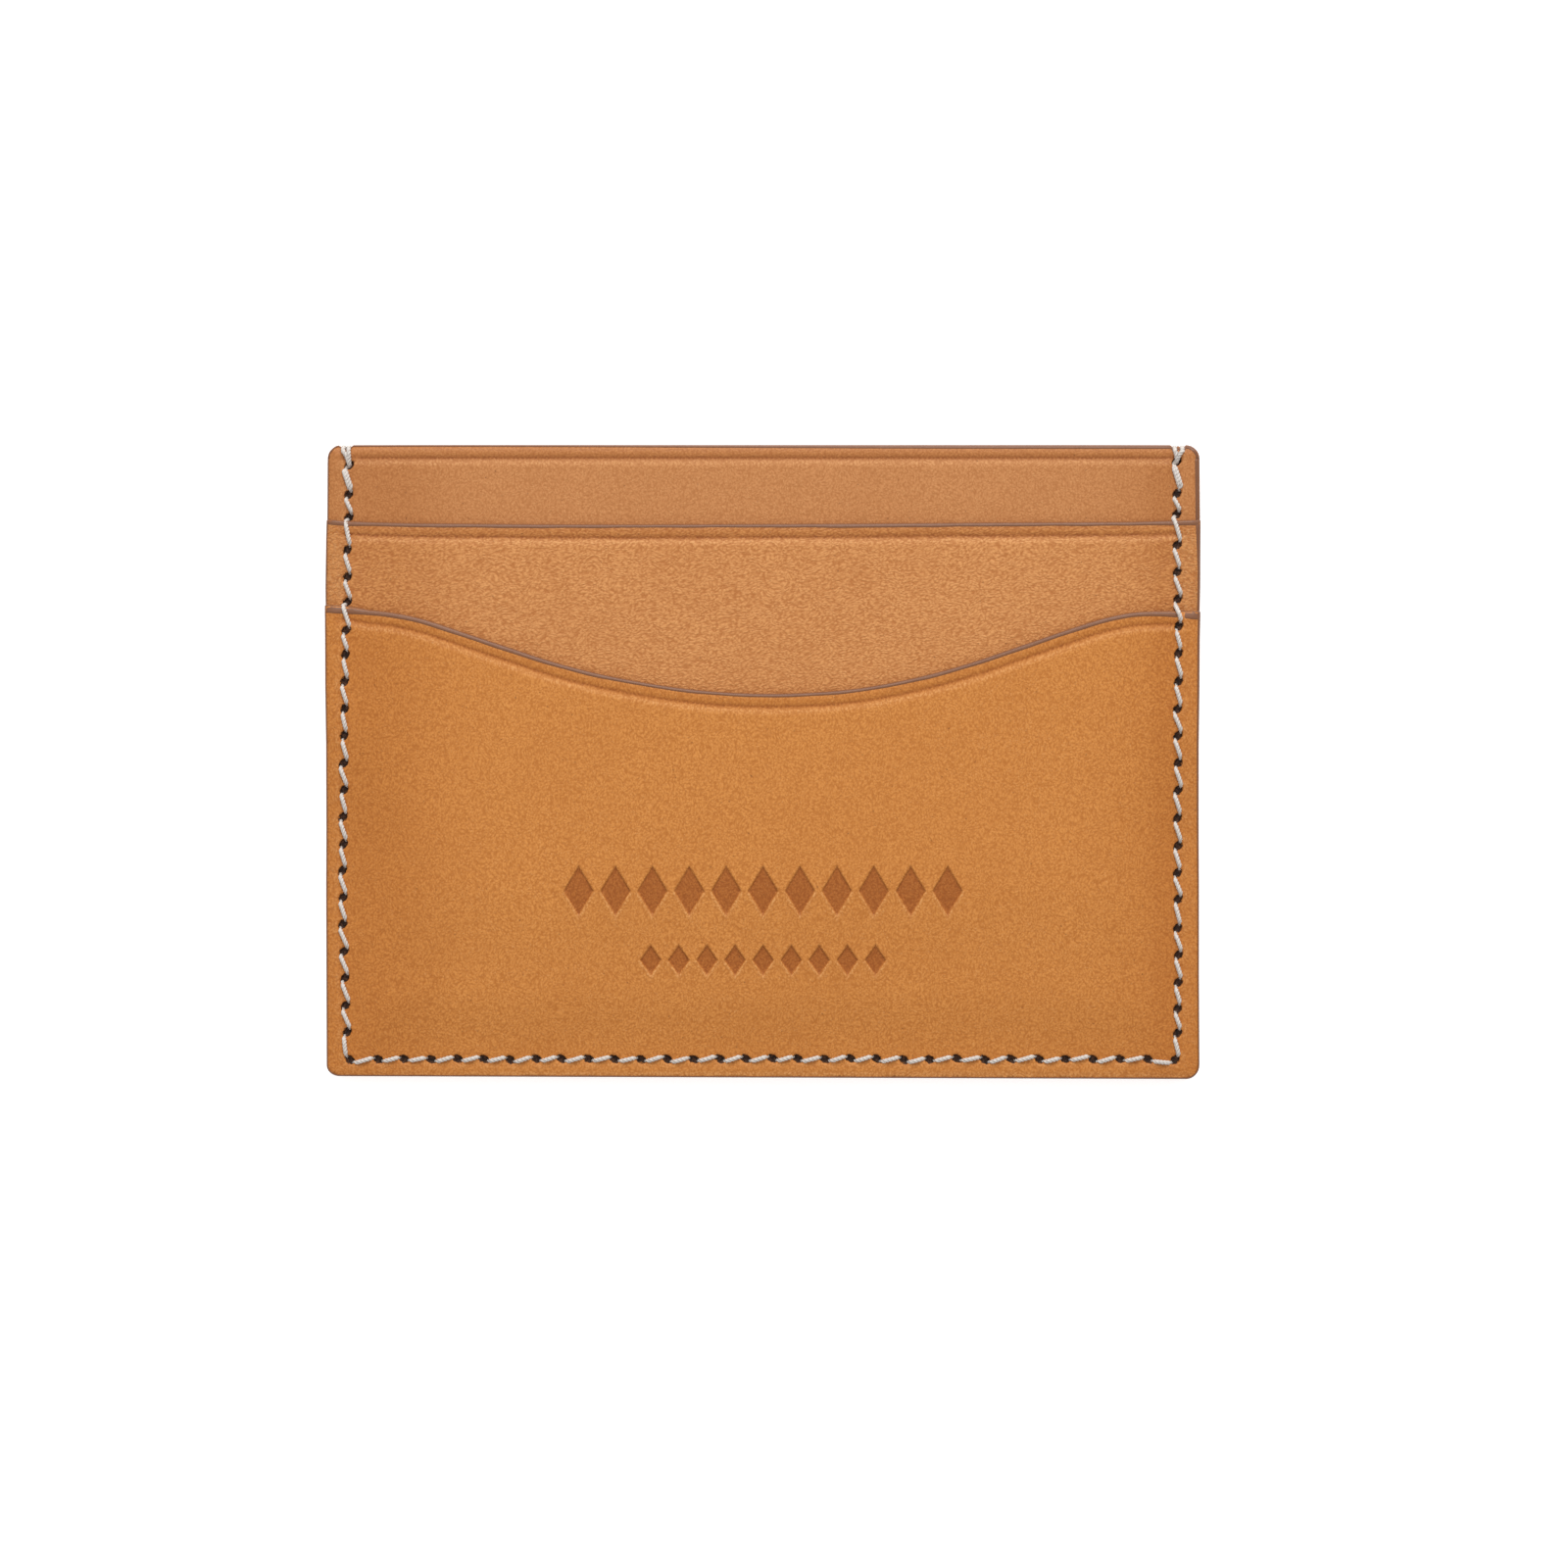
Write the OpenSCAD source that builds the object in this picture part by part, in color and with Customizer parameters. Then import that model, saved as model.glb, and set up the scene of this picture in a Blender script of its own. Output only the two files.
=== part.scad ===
// Card holder in vegetable-tanned leather: a plain back, a full-height centre panel, a T-shaped second
// pocket and a front pocket with a dipped mouth, saddle-stitched round three sides, with painted edges.
//
// The holder lies on its back. X runs across its width, Y up towards the pocket mouths, Z out of its face.
// The origin is under the middle of the holder, on the surface that it lies on. Sizes are in millimetres.

/* [Overall size] */
// Width from painted edge to painted edge
holder_w = 100; // [98:0.5:108]
// Height from the bottom edge to the top mouth
holder_h = 72.5; // [70:0.5:78]
// Radius of the four corners, seen from the front
corner_r = 1.6; // [1:0.1:2.4]

/* [Leather] */
// Thickness of the back panel
back_t = 1; // [0.9:0.05:1.4]
// Thickness of the centre panel
centre_t = 1; // [0.8:0.05:1.4]
// Thickness of the second pocket, which is split thinner than the rest
second_t = 0.8; // [0.6:0.05:1.2]
// Thickness of the front pocket
front_t = 1; // [0.8:0.05:1.4]
// Room that each empty card slot keeps between its two walls
slot_gap = 0.2; // [0.1:0.05:0.3]
// Thickness of the paint on the cut edges
paint_t = 0.3; // [0.2:0.05:0.4]
// Distance from a mouth to its creased line
crease_inset = 1.4; // [1:0.1:2]
// Width of the creased line
crease_w = 0.25; // [0.15:0.05:0.4]

/* [Pockets] */
// Drop from the top edge to the second pocket's mouth
second_drop = 8.9; // [8:0.1:10]
// Drop from the top edge to the shoulders of the front pocket's mouth
front_drop = 18.8; // [18:0.1:20]
// Depth of the dip in the front pocket's mouth, below its shoulders
dip = 9.7; // [9:0.1:11]
// Radius of the bottom of the dip
dip_r = 81; // [70:1:86]
// Radius that rounds each shoulder of the mouth
shoulder_r = 34; // [28:1:36]
// Slope of the straight flanks of the mouth, in degrees
flank_angle = 18.7; // [17:0.1:20]
// Height of the second pocket's wings, which reach into the side seams
wing_h = 22; // [20:0.5:26]
// Width of the second pocket's tongue, which hangs between the side seams
tongue_w = 90; // [88:0.5:90]
// Height of the tongue's hem above the bottom edge, so that a 54 mm card still shows above the mouth
hem_h = 10; // [8:0.5:14]

/* [Stitching] */
// Distance from the left edge to its row of stitches
left_inset = 2.4; // [2.2:0.1:2.8]
// Distance from the right edge to its row of stitches
right_inset = 2.7; // [2.2:0.1:2.8]
// Distance from the bottom edge to its row of stitches
bottom_inset = 2.3; // [2:0.1:2.8]
// Distance from the top edge to the first needle hole
top_inset = 2.9; // [2.4:0.1:3.4]
// Stitches in each side seam
side_stitches = 22; // [18:1:24]
// Stitches in the bottom seam
bottom_stitches = 31; // [26:1:34]
// Stitches in the tongue's hem
hem_stitches = 28; // [22:1:30]
// Radius of a needle hole
hole_r = 0.35; // [0.3:0.05:0.45]
// Thickness of the waxed thread
thread_d = 0.5; // [0.4:0.05:0.55]
// Sideways lean of each stitch between its two holes
stitch_lean = 0.3; // [0:0.05:0.4]

/* [Ornament] */
// Lozenges in the upper row pressed into the front pocket
upper_lozenges = 11; // [5:2:13]
// Lozenges in the lower, smaller row
lower_lozenges = 9; // [3:2:11]

/* [Hidden] */

// Sheet levels in the glued margins, counted up from the surface that the holder lies on
back_top = back_t;
centre_top = back_top + centre_t;
second_top = centre_top + second_t;

// Heights up the holder, counted from its middle
top_y = holder_h / 2;
bottom_y = -top_y;
second_mouth_y = top_y - second_drop;
front_mouth_y = top_y - front_drop;
wing_low_y = second_mouth_y - wing_h;
hem_y = bottom_y + hem_h;

// The glued margin, inside which the slots open, and the width over which the leather rises from it
margin_w = 3.6;
rise_w = 1.6;
half_w = holder_w / 2;
slot_half = half_w - margin_w - rise_w;
slot_low_y = bottom_y + margin_w + rise_w;
tongue_half = tongue_w / 2;

// Depth of the creased lines and of the beds that the stitches press into the leather
press_depth = 0.12;
bed_w = thread_d + 0.2;
// The back stitches lie wholly inside the back panel, so that the holder rests on leather
back_bed = thread_d + 0.05;
// The hem's inner stitches keep out of the slot behind them
hem_inset = 2;
hem_thread_d = 0.8 * thread_d;
hem_bed = hem_thread_d - slot_gap / 2;

// Rows of the ornament: height up the holder, distance between lozenges, and a lozenge's width and height
upper_row_y = -14.7;
upper_row_pitch = 4.2;
upper_lozenge = [3.4, 5.6];
lower_row_y = -22.6;
lower_row_pitch = 3.2;
lower_lozenge = [2.4, 3.4];

// Larger than the holder in every direction
far = 80;
above = 8;

// --- Needle holes -----------------------------------------------------------------------------------------

left_x = -half_w + left_inset;
right_x = half_w - right_inset;
seam_low_y = bottom_y + bottom_inset;
seam_top_y = top_y - top_inset;

function between(a, b, part) = a + (b - a) * part;

left_holes = [
    for (i = [0 : side_stitches - 1]) [left_x, between(seam_top_y, seam_low_y, i / side_stitches)]
];
bottom_holes = [
    for (i = [0 : bottom_stitches]) [between(left_x, right_x, i / bottom_stitches), seam_low_y]
];
right_holes = [
    for (i = [1 : side_stitches]) [right_x, between(seam_low_y, seam_top_y, i / side_stitches)]
];
seam_holes = concat(left_holes, bottom_holes, right_holes);

hem_hole_x = tongue_half - hem_inset;
hem_hole_y = hem_y + hem_inset;
hem_holes = [for (i = [0 : hem_stitches]) [between(-hem_hole_x, hem_hole_x, i / hem_stitches), hem_hole_y]];

module bores(holes) {
    for (p = holes) translate([p.x, p.y, -1]) cylinder(h = above, r = hole_r, $fn = 24);
}

// --- Outlines ---------------------------------------------------------------------------------------------

// The holder's outline with round corners, taken in all round by inset
module outline(inset = 0) {
    r = corner_r - inset;
    w = half_w - inset;
    h = top_y - inset;
    difference() {
        square([2 * w, 2 * h], center = true);
        for (sx = [-1, 1], sy = [-1, 1]) {
            translate([sx * w, sy * h]) difference() {
                square(2 * r, center = true);
                translate([-sx * r, -sy * r]) circle(r, $fn = 48);
            }
        }
    }
}

// Everything above the height y
module above_line(y) translate([-far, y]) square([2 * far, far]);

function arc(centre, r, from, to, steps = 16) = [
    for (i = [0 : steps]) let (angle = between(from, to, i / steps)) centre + r * [cos(angle), sin(angle)]
];

// The right half of the front pocket's mouth, moved squarely down by grow: a round bottom and a round
// shoulder, both tangent to the straight flank between them
function half_mouth(grow) =
    let (bottom_r = dip_r + grow,
         round_r = shoulder_r - grow,
         low_y = front_mouth_y - dip - grow,
         bottom_arc = arc([0, low_y + bottom_r], bottom_r, -90, flank_angle - 90),
         flank_low = bottom_arc[len(bottom_arc) - 1],
         flank_top_y = front_mouth_y - grow - round_r * (1 - cos(flank_angle)),
         flank_top_x = flank_low.x + (flank_top_y - flank_low.y) / tan(flank_angle),
         shoulder_x = flank_top_x + round_r * sin(flank_angle))
    concat(bottom_arc, arc([shoulder_x, front_mouth_y - grow - round_r], round_r, 90 + flank_angle, 90));

// Everything above that mouth
module above_dip(grow = 0) {
    right = half_mouth(grow);
    left = [for (i = [len(right) - 1 : -1 : 1]) [-right[i].x, right[i].y]];
    shoulder_y = front_mouth_y - grow;
    polygon(concat([[-far, far], [-far, shoulder_y]], left, right, [[far, shoulder_y], [far, far]]));
}

// The T shape of the second pocket: full-width wings, and a tongue that hangs down to the hem
module t_shape() {
    translate([-half_w, wing_low_y]) square([holder_w, wing_h]);
    translate([-tongue_half, hem_y]) square([tongue_w, wing_low_y - hem_y + 1]);
}

// Bands of paint: along the top mouth, round its corners and in its notches, and down the sides and the bottom
module top_band() difference() {
    intersection() {
        union() {
            painted_band();
            wrap_notches(paint_t);
        }
        outline();
        above_line(top_y - corner_r);
    }
    wrap_notches();
}

module side_band() difference() {
    painted_band();
    above_line(top_y - corner_r);
}

module painted_band() difference() {
    outline();
    outline(paint_t);
}

// A straight creased line under a mouth at height y
module straight_crease(y) {
    translate([-half_w, y - crease_inset - crease_w]) square([holder_w, crease_w]);
}

module dipped_crease() difference() {
    above_dip(crease_inset + crease_w);
    above_dip(crease_inset);
}

module lozenge_row(count, y, pitch, size) {
    w = size.x / 2;
    h = size.y / 2;
    for (i = [0 : count - 1]) {
        translate([(i - (count - 1) / 2) * pitch, y]) polygon([[-w, 0], [0, -h], [w, 0], [0, h]]);
    }
}

module ornament() {
    lozenge_row(upper_lozenges, upper_row_y, upper_row_pitch, upper_lozenge);
    lozenge_row(lower_lozenges, lower_row_y, lower_row_pitch, lower_lozenge);
}

// The strip under the stitches, from height low to height high
module stitch_bed(low, high) intersection() {
    union() {
        for (x = [left_x, right_x]) {
            translate([x - bed_w / 2, seam_low_y]) square([bed_w, seam_top_y - seam_low_y]);
        }
        translate([left_x, seam_low_y - bed_w / 2]) square([right_x - left_x, bed_w]);
    }
    translate([-half_w, low]) square([holder_w, high - low]);
}

module hem_bed_strip() {
    translate([-hem_hole_x, hem_hole_y - bed_w / 2]) square([2 * hem_hole_x, bed_w]);
}

// Where the two threads at each end of the seam pass over the top edge: their middle, and how far they are
// from it
wrap_x = [left_x - 0.1, right_x + 0.2];
wrap_spread = [0.35, 0.5];

// The notches that those threads pull into the top edge, grown all round by grow
module wrap_notches(grow = 0) {
    w = bed_w + 2 * grow;
    for (i = [0, 1], side = [-1, 1]) {
        translate([wrap_x[i] + side * wrap_spread[i] - w / 2, top_y - bed_w - grow]) square([w, 2 * bed_w]);
    }
}

// --- Lie of the sheets ------------------------------------------------------------------------------------
// Each sheet is the space between the ground that it lies on and the same ground raised by its thickness.

module slab(z) translate([-far, -far, -1]) cube([2 * far, 2 * far, z + 1]);

// Ground that stands at z_top over |x| < half and y > low_y, with slopes rise_w wide down to z_foot
module terrace(z_foot, z_top, half, low_y) intersection() {
    rotate([90, 0, 0]) linear_extrude(2 * far, center = true)
        polygon([[-half - rise_w, z_foot], [-half, z_top], [half, z_top], [half + rise_w, z_foot]]);
    rotate([90, 0, 90]) linear_extrude(2 * far, center = true)
        polygon([[low_y - rise_w, z_foot], [low_y, z_top], [far, z_top], [far, z_foot]]);
}

module centre_ground(lift = 0) {
    slab(back_top + lift);
    terrace(back_top + lift, back_top + slot_gap + lift, slot_half, slot_low_y);
}

module second_ground(lift = 0) {
    slab(centre_top + lift);
    terrace(centre_top + lift, centre_top + slot_gap + lift, slot_half, slot_low_y);
    terrace(centre_top + lift, centre_top + 2 * slot_gap + lift, slot_half, hem_y + 2 * hem_inset);
}

// The front pocket lies on the centre panel in its margins and rises over the second pocket's T shape
module front_ground(lift = 0) {
    slab(centre_top + lift);
    terrace(centre_top + lift, centre_top + 2 * slot_gap + lift, slot_half, slot_low_y);
    terrace(centre_top + lift, second_top + lift, half_w + 1, wing_low_y);
    terrace(centre_top + lift, second_top + 3 * slot_gap + lift, tongue_half, hem_y);
    terrace(second_top + lift, second_top + 3 * slot_gap + lift, slot_half, wing_low_y);
}

module centre_sheet() difference() {
    centre_ground(centre_t);
    centre_ground();
}

module second_sheet() difference() {
    second_ground(second_t);
    second_ground();
}

module front_sheet() difference() {
    front_ground(front_t);
    front_ground();
}

module tall() translate([0, 0, -1]) linear_extrude(above) children();

// --- Leather ----------------------------------------------------------------------------------------------

module back_panel() color("#b98052") difference() {
    linear_extrude(back_t) outline(paint_t);
    bores(seam_holes);
    translate([0, 0, -1]) linear_extrude(1 + back_bed) stitch_bed(bottom_y, seam_top_y);
    translate([0, 0, -1]) linear_extrude(1 + press_depth) straight_crease(top_y);
    tall() wrap_notches(paint_t);
}

module centre_panel() color("#c6865a") difference() {
    intersection() {
        centre_sheet();
        tall() outline(paint_t);
    }
    bores(seam_holes);
    bores(hem_holes);
    difference() {
        tall() {
            straight_crease(top_y);
            stitch_bed(second_mouth_y, seam_top_y);
        }
        centre_ground(centre_t - press_depth);
    }
    intersection() {
        tall() hem_bed_strip();
        slab(back_top + slot_gap + hem_bed);
    }
    tall() wrap_notches(paint_t);
}

module second_pocket() color("#cd8b57") difference() {
    intersection() {
        second_sheet();
        tall() difference() {
            intersection() {
                t_shape();
                outline(paint_t);
            }
            above_line(second_mouth_y - paint_t);
        }
    }
    bores(seam_holes);
    bores(hem_holes);
    difference() {
        tall() {
            straight_crease(second_mouth_y);
            stitch_bed(front_mouth_y, second_mouth_y);
            hem_bed_strip();
        }
        second_ground(second_t - press_depth);
    }
}

module front_pocket() color("#cd8649") difference() {
    intersection() {
        front_sheet();
        tall() difference() {
            outline(paint_t);
            above_dip(paint_t);
        }
    }
    bores(seam_holes);
    difference() {
        tall() {
            dipped_crease();
            stitch_bed(bottom_y, front_mouth_y);
            ornament();
        }
        front_ground(front_t - press_depth);
    }
}

// --- Edge paint -------------------------------------------------------------------------------------------

module edge_paint_colour() color("#92654e") children();

// Down both sides and along the bottom the sheets are sewn together first and painted as one edge, which also
// fills the small gap under the front pocket where it steps down past the second pocket's wings
module perimeter_edge_paint() edge_paint_colour() intersection() {
    union() {
        centre_ground(centre_t);
        intersection() {
            second_ground(second_t);
            tall() difference() {
                t_shape();
                above_line(second_mouth_y);
            }
        }
        difference() {
            front_ground(front_t);
            tall() above_dip();
        }
    }
    linear_extrude(above) side_band();
}

module back_mouth_edge_paint() edge_paint_colour() linear_extrude(back_t) top_band();

module centre_mouth_edge_paint() edge_paint_colour() intersection() {
    centre_sheet();
    tall() top_band();
}

module second_mouth_edge_paint() edge_paint_colour() intersection() {
    second_sheet();
    tall() intersection() {
        outline(paint_t);
        translate([-half_w, second_mouth_y - paint_t]) square([holder_w, paint_t]);
    }
}

module front_mouth_edge_paint() edge_paint_colour() intersection() {
    front_sheet();
    tall() difference() {
        intersection() {
            outline(paint_t);
            above_dip(paint_t);
        }
        above_dip();
    }
}

// --- Thread -----------------------------------------------------------------------------------------------

// A straight length of thread between two points
module strand(a, b, d) {
    run = b - a;
    flat = norm([run.x, run.y]);
    translate(a) rotate([0, atan2(flat, run.z), atan2(run.y, run.x)])
        cylinder(h = norm(run), d = d, $fn = 8);
}

// Height of the outer face beside the side seams, at a height y up the holder
function face_z(y) =
    y > second_mouth_y ? centre_top :
    y > front_mouth_y ? second_top :
    y > wing_low_y - rise_w ? second_top + front_t :
    centre_top + front_t;

front_lie = thread_d / 2 - press_depth;
back_z = thread_d / 2;
function over(p) = [p.x, p.y, face_z(p.y) + front_lie];
function under(p) = [p.x, p.y, back_z];

// A stitch on the face leans across the seam, and where one end lies on a higher sheet it climbs early
module face_stitch(p, q, lean) {
    start = over(p + lean);
    end = over(q - lean);
    knee_part = start.z < end.z ? 0.25 : 0.75;
    knee = [between(start.x, end.x, knee_part), between(start.y, end.y, knee_part), max(start.z, end.z)];
    if (start.z == end.z) {
        strand(start, end, thread_d);
    } else {
        strand(start, knee, thread_d);
        strand(knee, end, thread_d);
    }
}

// Two threads from the first hole over the top edge and back into it from behind
module wrap(i, hole) {
    r = thread_d / 2;
    for (side = [-1, 1]) {
        x = wrap_x[i] + side * wrap_spread[i];
        face = [x, top_y - r, centre_top + front_lie];
        rear = [x, top_y - r, back_z];
        strand(over(hole), face, thread_d);
        strand(rear, face, thread_d);
        strand(under(hole), rear, thread_d);
    }
}

module seam_thread() color("#d8d0c8") {
    last = len(seam_holes) - 1;
    for (i = [0 : last - 1]) {
        p = seam_holes[i];
        q = seam_holes[i + 1];
        along = (q - p) / norm(q - p);
        lean = stitch_lean / 2 * (abs(along.x) > abs(along.y) ? [0, -1] : [-1, 0] * sign(-along.y));
        face_stitch(p, q, lean);
        strand(under(p), under(q), thread_d);
    }
    for (p = seam_holes) strand(under(p), over(p), thread_d);
    wrap(0, seam_holes[0]);
    wrap(1, seam_holes[last]);
    // The first stitch of each side is sewn twice, and the second thread lies beside the first
    for (pair = [[0, 1], [last - 1, last]]) {
        beside = [thread_d * 0.8, 0, 0];
        strand(over(seam_holes[pair[0]]) + beside, over(seam_holes[pair[1]]) + beside, thread_d);
    }
}

module hem_thread() color("#d8d0c8") {
    face = second_top + slot_gap + hem_thread_d / 2 - press_depth;
    rear = back_top + slot_gap + hem_thread_d / 2 - slot_gap / 2;
    for (i = [0 : hem_stitches - 1]) {
        p = hem_holes[i];
        q = hem_holes[i + 1];
        strand([p.x, p.y, face], [q.x, q.y, face], hem_thread_d);
        strand([p.x, p.y, rear], [q.x, q.y, rear], hem_thread_d);
    }
    for (p = hem_holes) strand([p.x, p.y, rear], [p.x, p.y, face], hem_thread_d);
}

back_panel();
centre_panel();
second_pocket();
front_pocket();
seam_thread();
hem_thread();
perimeter_edge_paint();
back_mouth_edge_paint();
centre_mouth_edge_paint();
second_mouth_edge_paint();
front_mouth_edge_paint();
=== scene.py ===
# %% [markdown]
# # A hand-stitched leather card holder
# The holder is four sheets of vegetable-tanned leather, stacked and sewn together round three sides with
# one waxed thread, with paint on every cut edge. It lies on its back: X runs across it, Y up to its mouths,
# Z out of its face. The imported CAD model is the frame. It gives the sizes, and every piece below is made to
# fit it.

# %% Load the frame
import math

import bpy
import numpy as np
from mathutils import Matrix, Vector
from mathutils.geometry import delaunay_2d_cdt


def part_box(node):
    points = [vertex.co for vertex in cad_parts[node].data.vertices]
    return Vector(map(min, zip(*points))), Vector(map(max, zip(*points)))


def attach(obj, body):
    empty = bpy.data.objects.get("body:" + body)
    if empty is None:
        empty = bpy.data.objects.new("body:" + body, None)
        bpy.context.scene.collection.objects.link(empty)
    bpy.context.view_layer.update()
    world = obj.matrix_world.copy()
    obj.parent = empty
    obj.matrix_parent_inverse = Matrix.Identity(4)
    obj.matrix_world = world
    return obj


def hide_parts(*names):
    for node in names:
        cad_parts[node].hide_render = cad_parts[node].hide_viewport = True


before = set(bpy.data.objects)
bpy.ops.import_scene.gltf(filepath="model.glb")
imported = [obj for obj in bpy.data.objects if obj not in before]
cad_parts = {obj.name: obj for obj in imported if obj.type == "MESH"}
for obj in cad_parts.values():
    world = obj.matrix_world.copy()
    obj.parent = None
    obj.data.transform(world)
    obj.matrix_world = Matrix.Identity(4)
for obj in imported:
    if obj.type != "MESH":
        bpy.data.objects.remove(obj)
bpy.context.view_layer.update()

# %% [markdown]
# ## Sizes
# Leather is easiest to think about in millimetres, so the shapes are worked out in millimetres and turned
# into metres only when a mesh is made. The boxes of the CAD nodes give the levels of the sheets: the sheets
# touch in the sewn margins, and each slot lifts the sheets above it by one slot gap.

# %% Sizes from the frame
MM = 0.001


def box_mm(node):
    """Lowest and highest corner of a CAD node, in millimetres."""
    low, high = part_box(node)
    return np.array(low) / MM, np.array(high) / MM


PERIMETER_LOW, PERIMETER_HIGH = box_mm("perimeter_edge_paint")
HALF_W = PERIMETER_HIGH[0]
BOTTOM_Y = PERIMETER_LOW[1]
TOP_Y = box_mm("back_mouth_edge_paint")[1][1]
PAINT_T = HALF_W - box_mm("back_panel")[1][0]

BACK_TOP = box_mm("back_panel")[1][2]
CENTRE_TOP = box_mm("second_pocket")[0][2]
SLOT_GAP = box_mm("centre_panel")[1][2] - CENTRE_TOP
SECOND_TOP = box_mm("second_pocket")[1][2] - 2 * SLOT_GAP
SECOND_T = SECOND_TOP - CENTRE_TOP
FRONT_T = PERIMETER_HIGH[2] - SECOND_TOP
HEM_Y = box_mm("second_pocket")[0][1]

MOUTH_LOW, MOUTH_HIGH = box_mm("front_mouth_edge_paint")
SHOULDER_Y = MOUTH_HIGH[1]
DIP = SHOULDER_Y - MOUTH_LOW[1] - PAINT_T
SECOND_MOUTH_Y = box_mm("second_mouth_edge_paint")[1][1]
TONGUE_HALF = 45.0
WING_HEIGHT = 22.0
WING_LOW_Y = SECOND_MOUTH_Y - WING_HEIGHT
CORNER_R = 1.6
# The leather reaches almost to the finished edge: the coat of paint on the cut is this thin
COAT = 0.14
print("levels in mm:", np.round([BACK_TOP, CENTRE_TOP, SECOND_TOP, SECOND_TOP + FRONT_T], 2).tolist())
print("mouths and dip in mm:", np.round([SECOND_MOUTH_Y, SHOULDER_Y, DIP], 2).tolist())

# %% [markdown]
# ## The line of each mouth
# The front pocket's mouth dips in the middle so that a thumb can push a card out. It was cut round a
# pattern made of a wide round bottom, straight flanks and round shoulders, so it is drawn from those three,
# each running smoothly into the next. A curve drawn by eye through many points would never be as clean as
# the cut edge is. The knife strayed from the pattern by a few tenths of a millimetre, which is added at the
# end.

# %% Mouth lines
DIP_R = 81.0
SHOULDER_R = 34.0
FLANK_ANGLE = math.radians(18.7)
# How far the hand-cut lines stand above the pattern, at these places across the holder
CUT_AT_X = [-50.0, -47.5, -45.0, -40.0, -33.0, -25.0, -14.0, -2.0, 11.0, 24.0, 35.0, 42.0, 46.0, 50.0]
FRONT_CUT = [0.42, 0.30, -0.04, -0.04, -0.05, 0.00, 0.14, 0.02, -0.13, 0.00, 0.07, 0.00, -0.22, -0.30]
SECOND_CUT = [0.30, 0.15, 0.03, -0.12, -0.18, -0.25, -0.27, -0.22, -0.16, -0.06, -0.01, 0.04, 0.18, 0.27]


def front_mouth(x):
    """Height of the front pocket's mouth at each x."""
    by_hand = np.interp(x, CUT_AT_X, FRONT_CUT)
    x = np.abs(x)
    low_y = SHOULDER_Y - DIP
    flank_x = DIP_R * math.sin(FLANK_ANGLE)
    flank_y = low_y + DIP_R * (1 - math.cos(FLANK_ANGLE))
    round_y = SHOULDER_Y - SHOULDER_R * (1 - math.cos(FLANK_ANGLE))
    round_x = flank_x + (round_y - flank_y) / math.tan(FLANK_ANGLE)
    shoulder_x = round_x + SHOULDER_R * math.sin(FLANK_ANGLE)
    bottom = low_y + DIP_R - np.sqrt(DIP_R**2 - np.minimum(x, flank_x) ** 2)
    flank = flank_y + (x - flank_x) * math.tan(FLANK_ANGLE)
    shoulder = SHOULDER_Y - SHOULDER_R + np.sqrt(SHOULDER_R**2 - np.clip(shoulder_x - x, 0, SHOULDER_R) ** 2)
    return np.where(x < flank_x, bottom, np.where(x < round_x, flank, shoulder)) + by_hand


def second_mouth(x):
    """The second pocket's mouth is cut straight, and wears down a little in the middle."""
    return SECOND_MOUTH_Y + np.interp(x, CUT_AT_X, SECOND_CUT)


def top_mouth(x):
    """The centre panel's and the back's mouths are the straight top edge."""
    return TOP_Y + 0 * np.asarray(x, float)


def slope_of(mouth, x):
    """How steeply a mouth's line rises, measured over a tenth of a millimetre."""
    return (mouth(x + 0.05) - mouth(x - 0.05)) / 0.1


def below(mouth, x, y):
    """Distance of a point from a mouth's line, squarely to the line, positive on the leather's side."""
    slope = slope_of(mouth, x)
    return (mouth(x) - y) / np.sqrt(1 + slope**2)


print("mouth heights at x = 0, 25, 45:", np.round(front_mouth(np.array([0, 25, 45])), 2))

# %% [markdown]
# ## The trimmed outline
# A holder cut by hand isn't quite square. Its sides are a few tenths of a millimetre inside the nominal
# edge, and its bottom slopes a little. Tables of those distances bend every sheet and every painted edge in
# the same way.

# %% The trimmed outline
# How far each side stands from the nominal edge, by height
SIDE_HEIGHTS = [-34.0, -25.0, -14.0, 2.0, 8.5, 14.0, 20.0, 25.5, 28.0, 34.0]
LEFT_REACH = [-0.16, -0.13, -0.10, -0.17, -0.08, -0.06, 0.0, -0.08, -0.13, -0.16]
RIGHT_REACH = [-0.18, -0.23, -0.23, -0.32, -0.24, -0.20, -0.06, -0.03, 0.0, -0.05]
# How much higher the bottom edge is at its left end than at its right
BOTTOM_SKEW = 0.34


def bottom_skew(x):
    """How much higher than nominal the bottom edge is at each x."""
    return BOTTOM_SKEW * (0.5 - x / (2 * HALF_W))


def pairs(x, y):
    """Points from their x and y. Either can be one number that they all share."""
    return np.stack(np.broadcast_arrays(x, y), -1)


def hand_trimmed(points):
    """Points of an outline, moved from the nominal edge to the edge as cut."""
    x, y = np.array(points, float).T
    near_side = np.clip((np.abs(x) - 47.0) / 2.5, 0, 1)
    reach = np.where(x < 0, -np.interp(y, SIDE_HEIGHTS, LEFT_REACH), np.interp(y, SIDE_HEIGHTS, RIGHT_REACH))
    near_bottom = np.clip((BOTTOM_Y + 1.5 - y) / 1.5, 0, 1)
    return pairs(x + reach * near_side, y + bottom_skew(x) * near_bottom)


print("trimmed bottom corners in mm:", np.round(hand_trimmed([(-50, -36.25), (50, -36.25)]), 2).tolist())

# %% [markdown]
# ## The seam
# The maker marks the seam with a pricking iron, which sets the distance between stitches, and pierces it
# with an awl. The awl makes slanted slits, not round holes, and that is what gives hand stitching its
# leaning stitches: each one starts at one end of its slit and ends at the other end of the next. The seam
# runs down the left side, along the bottom and up the right side.

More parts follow.
